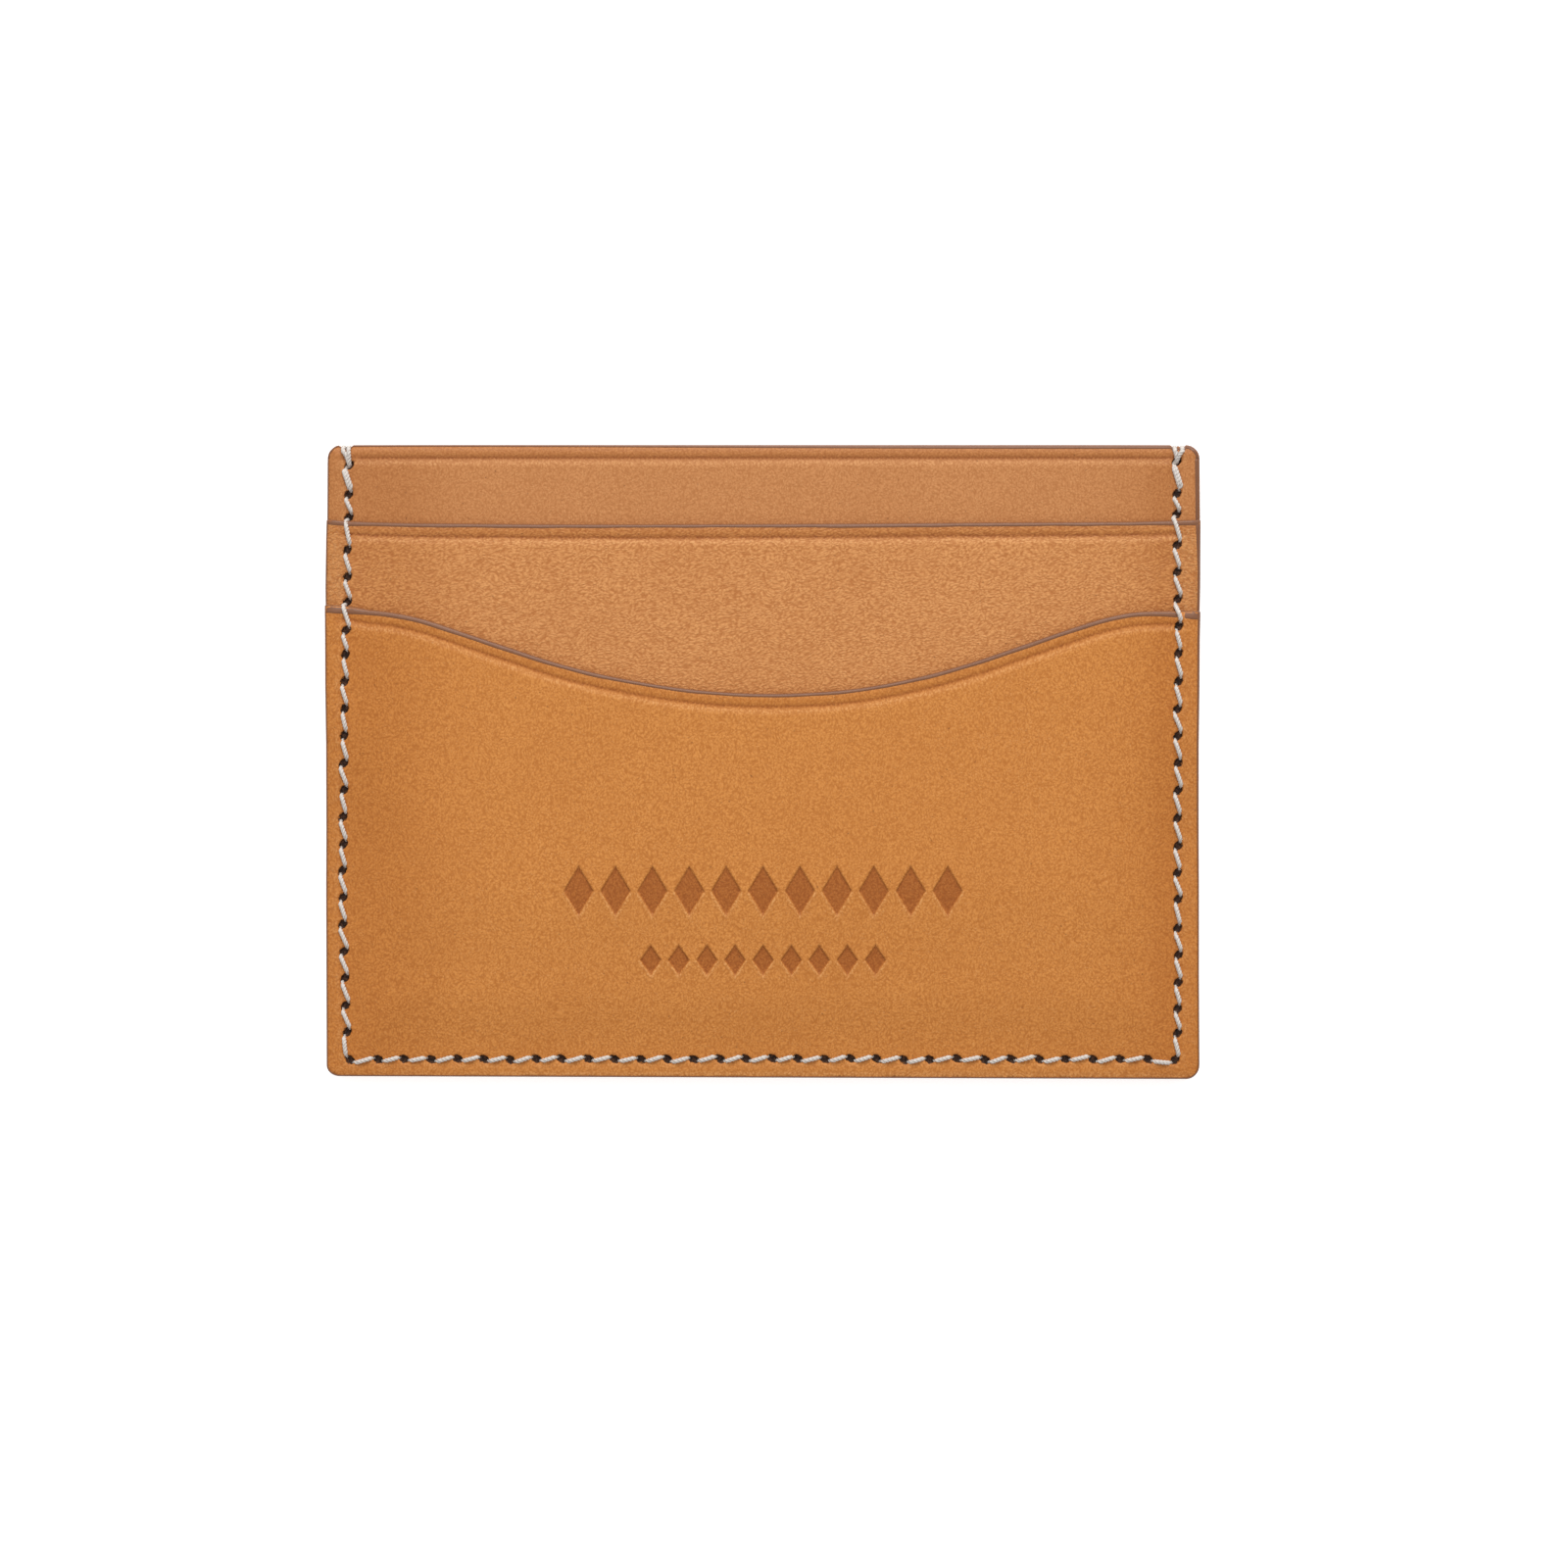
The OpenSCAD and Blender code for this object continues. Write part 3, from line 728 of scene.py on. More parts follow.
def plain_finish(name, dark, light, drift, relief, bump_mm, strength, **surface):
    """A material of two mixed colours and a bump. drift and relief are noises: size in mm, and settings."""
    material, tree = new_material(name)
    place = add(tree, "TexCoord").outputs["Object"]
    drifting, raised = (
        add(tree, "TexNoise", {"Vector": place, "Scale": 1 / (size_mm * MM), **settings}).outputs["Fac"]
        for size_mm, settings in (drift, relief))
    colour = add(tree, "Mix", {SHARE: drifting, UNDER: srgb(dark), OVER: srgb(light)},
                 data_type="RGBA").outputs[MIXED]
    bump = add(tree, "Bump",
               {"Height": raised, "Strength": strength, "Distance": bump_mm * MM}).outputs[0]
    sockets = {socket.replace("_", " "): value for socket, value in surface.items()}
    skin = add(tree, "BsdfPrincipled", {"Base Color": colour, "Normal": bump, **sockets})
    add(tree, "OutputMaterial", {"Surface": skin.outputs[0]})
    return material


# The inside of each pocket is the flesh side of the hide: a short felt of loose fibres, paler and quite
# matt. Only a sliver of it shows in the open mouths, so fine noise for the nap and a high roughness are
# enough
NAP = (0.25, {"Detail": 4.0})
FLESH_SIDE = plain_finish("calf_flesh_side", "#c79468", "#a8744a", NAP, NAP, 0.08, 0.6,
                          Roughness=0.9, Specular_IOR_Level=0.2)

# Cut edges are sealed with two or three coats of acrylic edge paint, sanded between coats. It dries to a
# soft satin film, a little uneven where it met the brush: the colour drifts slightly and a low bump breaks
# the highlight. Acrylic's index of refraction is 1.49
EDGE_PAINT = plain_finish("acrylic_edge_paint_satin", "#764a31", "#885c41",
                          (1.5, {"Detail": 4.0, "Roughness": 0.7}), (0.25, {"Detail": 3.0}), 0.04, 0.5,
                          IOR=1.49, Roughness=0.42, Specular_IOR_Level=0.35)

# The thread is three plies of waxed polyester, about half a millimetre thick, in undyed cream. The plies
# are real geometry, so the material only adds the fine fibres and the wax's soft shine
FIBRES = (0.12, {"Detail": 2.0})
THREAD = plain_finish("waxed_polyester_thread_cream", "#c3b8ae", "#ece5de", FIBRES, FIBRES, 0.03, 0.4,
                      IOR=1.53, Roughness=0.5, Sheen_Weight=0.2)
print("materials:", sorted(m.name for m in bpy.data.materials))

# %% [markdown]
# ## The front pocket
# The pocket that shows most. Its outline runs up both sides to the shoulders and along the dipped mouth.
# The leather stops a paint's thickness short of the finished edge, where the paint takes over.

# %% Front pocket
BAND_ROWS = (0.55, 0.8, 1.05, 1.3, 1.42, 1.52, 1.64, 1.8, 1.95, 2.1, 2.3, 2.6, 3.0)


def u_outline(mouth, half_w, bottom, corner_r, spacing=0.45):
    """Closed outline: up the right side, back along a mouth, down the left side, and along the bottom."""
    side_y = np.arange(bottom + corner_r, mouth(np.array([half_w]))[0] - 0.2 * spacing, spacing)
    mouth_x = np.linspace(half_w, -half_w, round(2 * half_w / spacing))
    base_x = np.arange(-half_w + corner_r + spacing, half_w - corner_r, spacing)
    turn = np.linspace(math.pi, 1.5 * math.pi, 7)
    left_arc = pairs(-half_w + corner_r * (1 + np.cos(turn)), bottom + corner_r * (1 + np.sin(turn)))
    right_arc = (left_arc * [-1, 1])[::-1]
    side = pairs(half_w, side_y[1:])
    return hand_trimmed(np.vstack([
        right_arc, side,
        pairs(mouth_x, mouth(mouth_x)),
        (side * [-1, 1])[::-1], left_arc,
        pairs(base_x, bottom),
    ]))


def lowered(mouth, drop):
    """The same mouth, moved squarely down into the leather."""
    def line(x):
        slope = slope_of(mouth, x)
        return mouth(x) - drop * np.sqrt(1 + slope**2)
    return line


FRONT_OUTLINE = u_outline(lowered(front_mouth, COAT), HALF_W - COAT, BOTTOM_Y + COAT, CORNER_R - COAT)
in_front = HOLES[:, 1] < SHOULDER_Y
FRONT_HOLES, FRONT_SLITS = HOLES[in_front], SLITS[in_front]


def grain_net(mouth, low_y, high_y, holes, slits):
    """All the grain side's points: mouth rows, seam rows, rings round the slits, and a net between them."""
    rows = rows_along(mouth, BAND_ROWS, HALF_W, 0.5)
    middle = net((-HALF_W, HALF_W), (low_y, high_y), 1.0)
    middle = middle[(inside_seam(*middle.T) > 3.4) & (below(mouth, *middle.T) > 3.3)]
    seam = seam_rows()
    seam = seam[below(mouth, *seam.T) > 3.2]
    spread = np.vstack([rows, seam, middle])
    spread = spread[slit_distance(*spread.T, holes, slits) > 2.1]
    return np.vstack([spread, rings_round(holes, slits)])


print("front pocket: outline points", len(FRONT_OUTLINE), "and slits", len(FRONT_HOLES))


# %% [markdown]
# A plain ornament is pressed into the pocket with a heated brass stamp: a row of lozenges with a smaller
# row below it. A stamp leaves a flat floor, steep sides and a slight rim, so each lozenge gets its own
# points close to its outline, and its height comes from the distance to its sides.

# %% Stamped lozenges
# Height up the holder, number of lozenges, distance between them, and a lozenge's width and height
LOZENGE_ROWS = ((-14.7, 11, 4.2, 3.4, 5.6), (-22.6, 9, 3.2, 2.4, 3.4))
STAMP_DEPTH = 0.22


def lozenge_distance(x, y):
    """Signed distance to the sides of the nearest lozenge, negative inside it."""
    nearest = np.full(np.shape(x), 9.0)
    for row_y, count, pitch, width, height in LOZENGE_ROWS:
        w, h = width / 2, height / 2
        number = np.clip(np.round(x / pitch + (count - 1) / 2), 0, count - 1)
        dx = x - (number - (count - 1) / 2) * pitch
        side = (np.abs(dx) / w + np.abs(y - row_y) / h - 1) * w * h / np.hypot(w, h)
        nearest = np.minimum(nearest, side)
    return nearest


def lozenge_points():
    """Points along each lozenge's outline and at small distances from it."""
    points = []
    t = np.arange(0, 4, 1 / 12)
    for row_y, count, pitch, width, height in LOZENGE_ROWS:
        w, h = width / 2, height / 2
        corner_x, corner_y = [w, 0, -w, 0, w], [0, h, 0, -h, 0]
        outline = pairs(np.interp(t, range(5), corner_x), np.interp(t, range(5), corner_y))
        for offset in (-0.5, -0.16, -0.09, -0.03, 0.05, 0.14, 0.24, 0.38):
            grown = outline * (1 + offset * np.hypot(w, h) / (w * h))
            points += [grown + ((i - (count - 1) / 2) * pitch, row_y) for i in range(count)]
    return np.vstack(points)


def stamped(x, y):
    """How deep the stamp went, and the rim round it."""
    away = lozenge_distance(x, y)
    return -STAMP_DEPTH * smooth((0.05 - away) / 0.14) + 0.025 * np.exp(-(((away - 0.22) / 0.12) ** 2))


print("points for the lozenges:", len(lozenge_points()))


# %% [markdown]
# With the ornament's shape known, the pocket can be made: its face, the slits that it has, the stamp, and the
# marks of handling, with painted shade and painted highlights.

# %% Front pocket's sheet


front_face = face_of(front_level, front_mouth, 1.0, 3)


def front_grain(x, y):
    return front_face(x, y) + slit_pits(x, y, FRONT_HOLES, FRONT_SLITS) + stamped(x, y)


def front_flesh(x, y):
    return front_level(x, y) - FRONT_T


def front_marks(x, y):
    marks = mouth_marks(below(front_mouth, x, y), x, y, FRONT_HOLES, FRONT_SLITS, 0.5, 0.35)
    floor_share = smooth((0.04 - lozenge_distance(x, y)) / 0.12)
    marks["burnish"] = np.maximum(marks["burnish"], 0.8 * floor_share)
    marks["crease"] = np.maximum(marks["crease"], 0.75 * floor_share)
    # Painted highlight: a pale line on the rim below each lozenge, on the side whose slope faces the light
    away = lozenge_distance(x, y)
    side_facing_light = np.clip((away - lozenge_distance(x, y + 0.2)) / 0.1, 0, 1)
    marks["pale"] = np.maximum(marks["pale"], side_facing_light * np.exp(-(((away - 0.17) / 0.12) ** 2)))
    # Painted highlight: a pale line along the rounded bottom edge, where it catches the light
    bottom_edge_highlight = np.exp(-(((y - BOTTOM_Y - bottom_skew(x) - 0.42) / 0.15) ** 2))
    marks["pale"] = np.maximum(marks["pale"], 0.9 * bottom_edge_highlight)
    return marks


FRONT_POINTS = grain_net(front_mouth, BOTTOM_Y, SHOULDER_Y, FRONT_HOLES, FRONT_SLITS)
FRONT_POINTS = FRONT_POINTS[lozenge_distance(*FRONT_POINTS.T) > 0.5]
FRONT_POINTS = np.vstack([FRONT_POINTS, lozenge_points()])
front_leather = make_sheet("front_pocket_leather", FRONT_OUTLINE, FRONT_POINTS, front_grain, front_flesh,
                           front_marks, [FRONT_CALF, FLESH_SIDE])

# %% [markdown]
# ## The second pocket
# It is cut in a T. The wings reach into the side seams, and the tongue hangs down between them inside the
# front pocket and is sewn down along its hem. Cutting the tongue narrow keeps the side seams thin.

# %% Second pocket


def t_outline(spacing=0.5):
    """Closed outline of the T, clockwise from its bottom left."""
    half_w, top = HALF_W - COAT, lowered(second_mouth, COAT)
    corners = [(-TONGUE_HALF, HEM_Y), (TONGUE_HALF, HEM_Y), (TONGUE_HALF, WING_LOW_Y), (half_w, WING_LOW_Y),
               (half_w, top(np.array([half_w]))[0])]
    mouth_x = np.linspace(half_w, -half_w, round(2 * half_w / spacing))
    corners += list(zip(mouth_x[1:], top(mouth_x[1:])))
    corners += [(-half_w, WING_LOW_Y), (-TONGUE_HALF, WING_LOW_Y)]
    points = []
    for a, b in zip(corners, corners[1:] + corners[:1]):
        a, b = np.array(a, float), np.array(b, float)
        count = max(1, round(float(np.linalg.norm(b - a)) / spacing))
        points += [a + (b - a) * i / count for i in range(count)]
    return hand_trimmed(points)


in_second = (HOLES[:, 1] < SECOND_MOUTH_Y) & (HOLES[:, 1] > SHOULDER_Y)
SECOND_HOLES, SECOND_SLITS = HOLES[in_second], SLITS[in_second]
second_face = face_of(second_level, second_mouth, 0.7, 5)


def second_grain(x, y):
    return second_face(x, y) + slit_pits(x, y, SECOND_HOLES, SECOND_SLITS)


def second_marks(x, y):
    return mouth_marks(below(second_mouth, x, y), x, y, SECOND_HOLES, SECOND_SLITS, 0.95, 1.0)


SECOND_POINTS = grain_net(second_mouth, HEM_Y, SECOND_MOUTH_Y, SECOND_HOLES, SECOND_SLITS)
second_leather = make_sheet("second_pocket_leather", t_outline(), SECOND_POINTS, second_grain, second_base,
                            second_marks, [SECOND_CALF, FLESH_SIDE])

# %% [markdown]
# ## The centre panel and the back
# Both are the full outline of the holder. The centre panel shows only as the strip above the second pocket.
# The back's grain side faces down, and its stitches lie in a cut groove, so that the holder rests on
# leather and the thread doesn't wear.

# %% Full outline and centre panel
WRAP_X = (LEFT_X - 0.1, RIGHT_X + 0.2)
WRAP_SPREAD = (0.3, 0.42)
NOTCH_DEPTH = 0.42


def notch(x):
    """How far the threads that wrap over the top edge pull it down at each x."""
    depth = np.zeros(np.shape(x))
    for middle, spread in zip(WRAP_X, WRAP_SPREAD):
        for side in (-1, 1):
            away = np.abs(x - middle - side * spread)
            depth = np.maximum(depth, NOTCH_DEPTH * smooth((0.45 - away) / 0.3))
    return depth


def full_outline(spacing=0.3):
    """The holder's outline, a coat of paint in: from its top right anticlockwise."""
    half_w, half_h, r = HALF_W - COAT, TOP_Y - COAT, CORNER_R - COAT
    points = []
    for quarter, (sx, sy) in enumerate(((1, 1), (-1, 1), (-1, -1), (1, -1))):
        turn = np.linspace(0.5 * quarter * math.pi, 0.5 * (quarter + 1) * math.pi, 7)
        centre = np.array([sx * (half_w - r), sy * (half_h - r)])
        arc = centre + r * pairs(np.cos(turn), np.sin(turn))
        run = 2 * (half_w if quarter % 2 == 0 else half_h) - 2 * r
        ahead = np.array([-math.sin(turn[-1]), math.cos(turn[-1])])
        along = run * np.arange(1, round(run / spacing)) / round(run / spacing)
        points += [arc, arc[-1] + along[:, None] * ahead]
    outline = np.vstack(points)
    outline[:, 1] -= np.where(outline[:, 1] > 0, notch(outline[:, 0]), 0)
    return hand_trimmed(outline)


in_top = HOLES[:, 1] > SECOND_MOUTH_Y
CENTRE_HOLES, CENTRE_SLITS = HOLES[in_top], SLITS[in_top]
centre_face = face_of(centre_level, top_mouth, 0.4, 7)


def centre_grain(x, y):
    return centre_face(x, y) + slit_pits(x, y, CENTRE_HOLES, CENTRE_SLITS)


def centre_flesh(x, y):
    return centre_level(x, y) - (CENTRE_TOP - BACK_TOP)


def centre_marks(x, y):
    return mouth_marks(below(top_mouth, x, y), x, y, CENTRE_HOLES, CENTRE_SLITS, 0.85, 0.3)


SHOWN_LOW_Y = SECOND_MOUTH_Y - 4.0
CENTRE_POINTS = grain_net(top_mouth, SHOWN_LOW_Y, TOP_Y, CENTRE_HOLES, CENTRE_SLITS)
CENTRE_POINTS = CENTRE_POINTS[CENTRE_POINTS[:, 1] > SHOWN_LOW_Y]
HIDDEN_NET = net((-HALF_W, HALF_W), (BOTTOM_Y, SHOWN_LOW_Y), 2.0)
centre_leather = make_sheet("centre_panel_leather", full_outline(), np.vstack([CENTRE_POINTS, HIDDEN_NET]),
                            centre_grain, centre_flesh, centre_marks, [CENTRE_CALF, FLESH_SIDE])

# %% [markdown]
# The back is made like the other sheets, with its detailed side down. The groove is one and a half threads
# wide, which leaves the thread room to settle below the leather's surface.

# %% The back
GROOVE_DEPTH = 0.5
GROOVE_HALF_W = 0.42


def back_grain(x, y):
    """The back's outer face looks down, so a hollow in it has a greater height."""
    groove = GROOVE_DEPTH * smooth((GROOVE_HALF_W + 0.12 - np.abs(inside_seam(x, y))) / 0.24)
    groove = groove * (y < HOLES[:, 1].max() + 0.4)
    slit = 0.3 * smooth((1.15 - slit_distance(x, y, HOLES, SLITS)) / 0.45)
    return groove + slit - creased(below(top_mouth, x, y), x) - rounded_edge(x, y)


def back_flesh(x, y):
    return BACK_TOP + 0 * x


def back_marks(x, y):
    return mouth_marks(below(top_mouth, x, y), x, y, HOLES, SLITS, 0.85, 0.3)


BACK_POINTS = grain_net(top_mouth, BOTTOM_Y, TOP_Y, HOLES, SLITS)
back_leather = make_sheet("back_panel_leather", full_outline(), BACK_POINTS, back_grain, back_flesh,
                          back_marks, [BACK_CALF, FLESH_SIDE])

# %% [markdown]
# ## Painted edges
# Each painted edge is a small rounded bead that caps the cut leather and laps a little onto its face. It is
# made by carrying one cross-section along the edge. The cross-section is given as pairs: how far in from
# the finished edge, and how far down from the face.

# %% Sweeping a cross-section


def sweep(name, rings, materials):
    """A closed skin over rings of points, all with the same count, with flat ends."""
    rings = np.asarray(rings, float)
    count, size = rings.shape[:2]
    faces = []
    for i in range(count - 1):
        for j in range(size):
            k = (j + 1) % size
            faces.append((i * size + j, i * size + k, (i + 1) * size + k, (i + 1) * size + j))
    faces.append(tuple(range(size))[::-1])
    faces.append(tuple(range((count - 1) * size, count * size)))
    return make_piece(name, rings.reshape(-1, 3), faces, materials)


# A painted edge's cross-section over the face: share of the lap inwards, and height over the leather
OVER_FACE = ((1.0, -0.04), (0.92, 0.025), (0.70, 0.045), (0.42, 0.035), (0.20, -0.02), (0.06, -0.13))
# The widest lap, in millimetres, that sets how the bead is rounded close to the cut
NARROW_LAP = 0.45


def bead_rings(path, inward, face, foot, lap):
    """Cross-sections of a painted edge along a path. face gives its height, foot its low end."""
    lap = np.broadcast_to(lap, len(path))[:, None]
    rings = []
    for share, lift in OVER_FACE:
        # Close to the cut, a wide lap is rounded as tightly as a narrow one
        spot = path + inward * share * (lap if share > 0.3 else np.minimum(lap, NARROW_LAP))
        rings.append(np.column_stack([spot, face(*spot.T) + lift]))
    top = face(*path.T)
    for share, part in ((0.0, 0.5), (0.05, 0.05), (0.3, 0.0)):
        rings.append(np.column_stack([path + inward * lap * share, foot + (top - foot) * part]))
    spot = path + inward * lap * 0.8
    rings.append(np.column_stack([spot, face(*spot.T) - 0.2]))
    return np.swapaxes(np.array(rings), 0, 1)


# %% [markdown]
# Both pockets' mouths are painted in the same way. Only the line, the face that it follows and the width of
# the brush's lap differ, so one function makes both.

# %% Front and second mouths
# How far the paint laps onto the face, at the same places across the holder as the cuts: the brush ran
# wider near the seams
FRONT_LAP = [0.95, 0.95, 0.66, 0.60, 0.58, 0.54, 0.45, 0.44, 0.45, 0.53, 0.56, 0.57, 0.70, 1.10]
SECOND_LAP = [0.62, 0.60, 0.51, 0.50, 0.50, 0.48, 0.41, 0.43, 0.54, 0.50, 0.47, 0.48, 0.56, 0.66]


def mouth_bead(name, mouth, face, level, thickness, laps):
    """The painted edge along a pocket's mouth."""
    half_w = HALF_W - 0.3
    x = np.linspace(-half_w, half_w, round(2 * half_w / 0.25))
    slope = slope_of(mouth, x)
    inward = pairs(slope, -np.ones(len(x))) / np.sqrt(1 + slope**2)[:, None]
    lap = np.interp(x, CUT_AT_X, laps) + 0.03 * np.sin(x * 0.9) * np.sin(x * 0.23)
    path = pairs(x, mouth(x))
    rings = bead_rings(path, inward, face, level(*path.T) - thickness + 0.02, lap)
    return sweep(name, rings[:, ::-1], [EDGE_PAINT])


front_paint = mouth_bead("front_mouth_paint", front_mouth, front_face, front_level, FRONT_T, FRONT_LAP)
second_paint = mouth_bead("second_mouth_paint", second_mouth, second_face, second_level, SECOND_T,
                          SECOND_LAP)

print("paint laps over the front mouth by, in mm:", min(FRONT_LAP), "to", max(FRONT_LAP))

# %% [markdown]
# One bead runs down the left side, along the bottom and up the right side, over all the sheets at once. So
# it needs the height of whichever sheet is on top at each point, with a step at each mouth.

# %% Outer edges


def outer_face(x, y):
    """Height of the face that shows at a point, with a short steep rise at each mouth."""
    z = centre_face(x, y)
    z = z + (second_face(x, y) - z) * smooth((second_mouth(x) - y) / 0.1)
    return z + (front_face(x, y) - z) * smooth((front_mouth(x) - y) / 0.1)


def rounded_path(half_w, top, bottom, r, spacing=0.3):
    """Down the left side, along the bottom and up the right side, between the feet of the top corners."""
    ends = np.array([-half_w, half_w])
    mouths = np.concatenate([second_mouth(ends), front_mouth(ends)])
    side_y = np.arange(bottom + r + spacing, top - r, spacing)
    side_y = np.concatenate([side_y, mouths, mouths - 0.1, [top - r]])
    side_y = np.unique(np.round(side_y, 4))[::-1]
    turn = np.linspace(math.pi, 1.5 * math.pi, 9)
    arc = pairs(-half_w + r * (1 + np.cos(turn)), bottom + r * (1 + np.sin(turn)))
    base_x = np.arange(-half_w + r + spacing, half_w - r - 0.5 * spacing, spacing)
    left = np.vstack([pairs(-half_w, side_y), arc])
    base = pairs(base_x, bottom)
    return np.vstack([left, base, (left * [-1, 1])[::-1]])


def normals_in(path):
    """Unit directions to the left of a path: inwards, for one that starts at the holder's top left."""
    run = np.gradient(path, axis=0)
    run = run / np.linalg.norm(run, axis=1)[:, None]
    return pairs(-run[:, 1], run[:, 0])


SIDE_PATH = hand_trimmed(rounded_path(HALF_W, TOP_Y, BOTTOM_Y, CORNER_R))
SIDE_IN = normals_in(SIDE_PATH)
on_right = smooth((SIDE_PATH[:, 0] - HALF_W + 2) / 1.5)
share_up = (SIDE_PATH[:, 1] - BOTTOM_Y) / (TOP_Y - BOTTOM_Y)
SIDE_LAP = 0.19 + on_right * np.interp(share_up, [0, 0.35, 0.8, 0.87, 1], [0.0, 0.05, 0.18, 0.42, 0.42])
side_rings = bead_rings(SIDE_PATH, SIDE_IN, outer_face, 0.02, SIDE_LAP)
perimeter_paint = sweep("perimeter_paint", side_rings, [EDGE_PAINT])

# %% [markdown]
# The two top edges are painted before the holder is sewn. Where the seam's ends wrap over them, the thread
# pulls small notches into both.

# %% Top edges


def top_bead(name, face, foot, lap_left, lap_right):
    """The painted top edge of the centre panel or the back, round both corners."""
    half_w, r = HALF_W, CORNER_R
    turn = np.linspace(math.pi, 0.5 * math.pi, 9)
    left = pairs(-half_w + r * (1 + np.cos(turn)), TOP_Y - r + r * np.sin(turn))
    x = np.arange(-half_w + r + 0.15, half_w - r - 0.05, 0.15)
    path = hand_trimmed(np.vstack([left, pairs(x, TOP_Y), (left * [-1, 1])[::-1]]))
    inward = -normals_in(path)
    path[:, 1] -= notch(path[:, 0])
    lap = lap_left + (lap_right - lap_left) * smooth((path[:, 0] + 40) / 70)
    return sweep(name, bead_rings(path, inward, face, foot, lap)[:, ::-1], [EDGE_PAINT])


centre_paint = top_bead("centre_mouth_paint", centre_face, BACK_TOP + 0.02, 0.24, 0.5)
back_paint = top_bead("back_mouth_paint", back_flesh, 0.14, 0.3, 0.3)

# %% [markdown]
# ## Saddle stitch
# One thread with a needle on each end sews the whole seam. Both needles pass through every slit from
# opposite sides, so two runs of thread weave past each other: where one lies on the face, the other lies on
# the back. At each end of the seam both runs wrap over the top edge, and the first stitch is sewn twice to
# lock it. Each run below is a list of stops, front or back, and a smooth curve through them is the thread's
# path.

# %% A smooth path
THREAD_R = 0.28


def bearing_height(spot, run):
    """Height of the leather that a stitch lies on. A stitch clears a mouth's edge before it reaches it."""
    return max(float(outer_face(*(spot + run * ahead))) for ahead in (-0.4, -0.2, 0.0, 0.2, 0.4))


def smooth_path(stops, step):
    """A curve through the stops, in even steps: cubics, with slopes from the neighbouring stops."""
    stops = np.asarray(stops, float)
    padded = np.vstack([2 * stops[0] - stops[1], stops, 2 * stops[-1] - stops[-2]])
    points = []
    for a, b, c, d in zip(padded, padded[1:], padded[2:], padded[3:]):
        gap = np.linalg.norm(c - b)
        if gap < 1e-6:
            continue
        slope_b = (c - a) / (np.linalg.norm(b - a) + gap) * gap
        slope_c = (d - b) / (gap + np.linalg.norm(d - c)) * gap
        t = (np.arange(max(2, round(gap / step))) / max(2, round(gap / step)))[:, None]
        points.append((2 * t**3 - 3 * t**2 + 1) * b + (t**3 - 2 * t**2 + t) * slope_b
                      + (3 * t**2 - 2 * t**3) * c + (t**3 - t**2) * slope_c)
    return np.vstack(points + [stops[-1:]])


print("thread's thickness in mm:", 2 * THREAD_R)

# %% [markdown]
# Each stitch on the face rises out of one slit, lies on the leather and dives into the next. The ones on
# the back lie low in the groove. The ends wrap over the top edge.

# %% Stitches
# A stitch's rise out of one slit and dive into the next: share of its length, and height of its middle
FACE_STITCH = ((0.0, -0.60), (0.05, -0.30), (0.13, -0.02), (0.28, 0.15), (0.5, 0.19), (0.72, 0.15),
               (0.87, -0.02), (0.95, -0.30), (1.0, -0.60))
# The same for a stitch in the back's groove, with its own height
REAR_STITCH = ((0.0, 0.75), (0.14, 0.42), (0.35, 0.30), (0.65, 0.30), (0.86, 0.42), (1.0, 0.75))
# Where the two threads of a doubled first stitch lie beside each other, and the heights inside a slit that a
# thread passes on its way through
BESIDE_ON_FACE, BESIDE_ON_BACK = 0.22, 0.1
MID_SLIT, END_SLIT = 1.4, 1.2


def face_stitch(i, j, side=0.0):
    """Stops of a stitch on the face from slit i to slit j, moved sideways by side."""
    forward = 1 if j > i else -1
    start = HOLES[i] - forward * SLIT_END * SLITS[i]
    end = HOLES[j] + forward * SLIT_END * SLITS[j]
    run = (end - start) / np.linalg.norm(end - start)
    across = np.array([-run[1], run[0]]) * side
    stops = []
    for share, lift in FACE_STITCH:
        spot = start + (end - start) * share + across * (1 if 0.05 < share < 0.95 else 0.5)
        stops.append((*spot, bearing_height(spot, run) + lift))
    return stops


def rear_stitch(i, j, side=0.0):
    """Stops of a stitch in the back's groove."""
    start, end = HOLES[i], HOLES[j]
    run = (end - start) / np.linalg.norm(end - start)
    across = np.array([-run[1], run[0]]) * side
    stops = []
    for share, z in REAR_STITCH:
        stops.append((*(start + (end - start) * share + across), z))
    return stops


def wrap_over(end, x, to_face):
    """Stops of a thread that goes from the back over the top edge to the face, or the other way."""
    hole = HOLES[0] if end == 0 else HOLES[-1]
    face_z = CENTRE_TOP + 0.12
    half_x, half_y = 0.5 * (hole[0] + x), 0.5 * (hole[1] + TOP_Y)
    stops = [(*hole, 0.75), (half_x, half_y, 0.34), (x, TOP_Y - 0.75, 0.30), (x, TOP_Y - 0.34, 0.55),
             (x, TOP_Y - 0.27, 1.05), (x, TOP_Y - 0.34, 1.75), (x, TOP_Y - 0.75, face_z),
             (half_x, half_y - 0.1, face_z), (*(hole + (0, 0.12)), face_z - 0.35)]
    return stops if to_face else stops[::-1]


print("stops in a stitch on the face and on the back:", len(FACE_STITCH), len(REAR_STITCH))

# %% [markdown]
# Each run is the stitches end to end, in turn on the face and on the back, with the doubled first stitch and
# the wrap over the top edge at both ends of the seam. The other run has face and back the other way round.

# %% The two runs


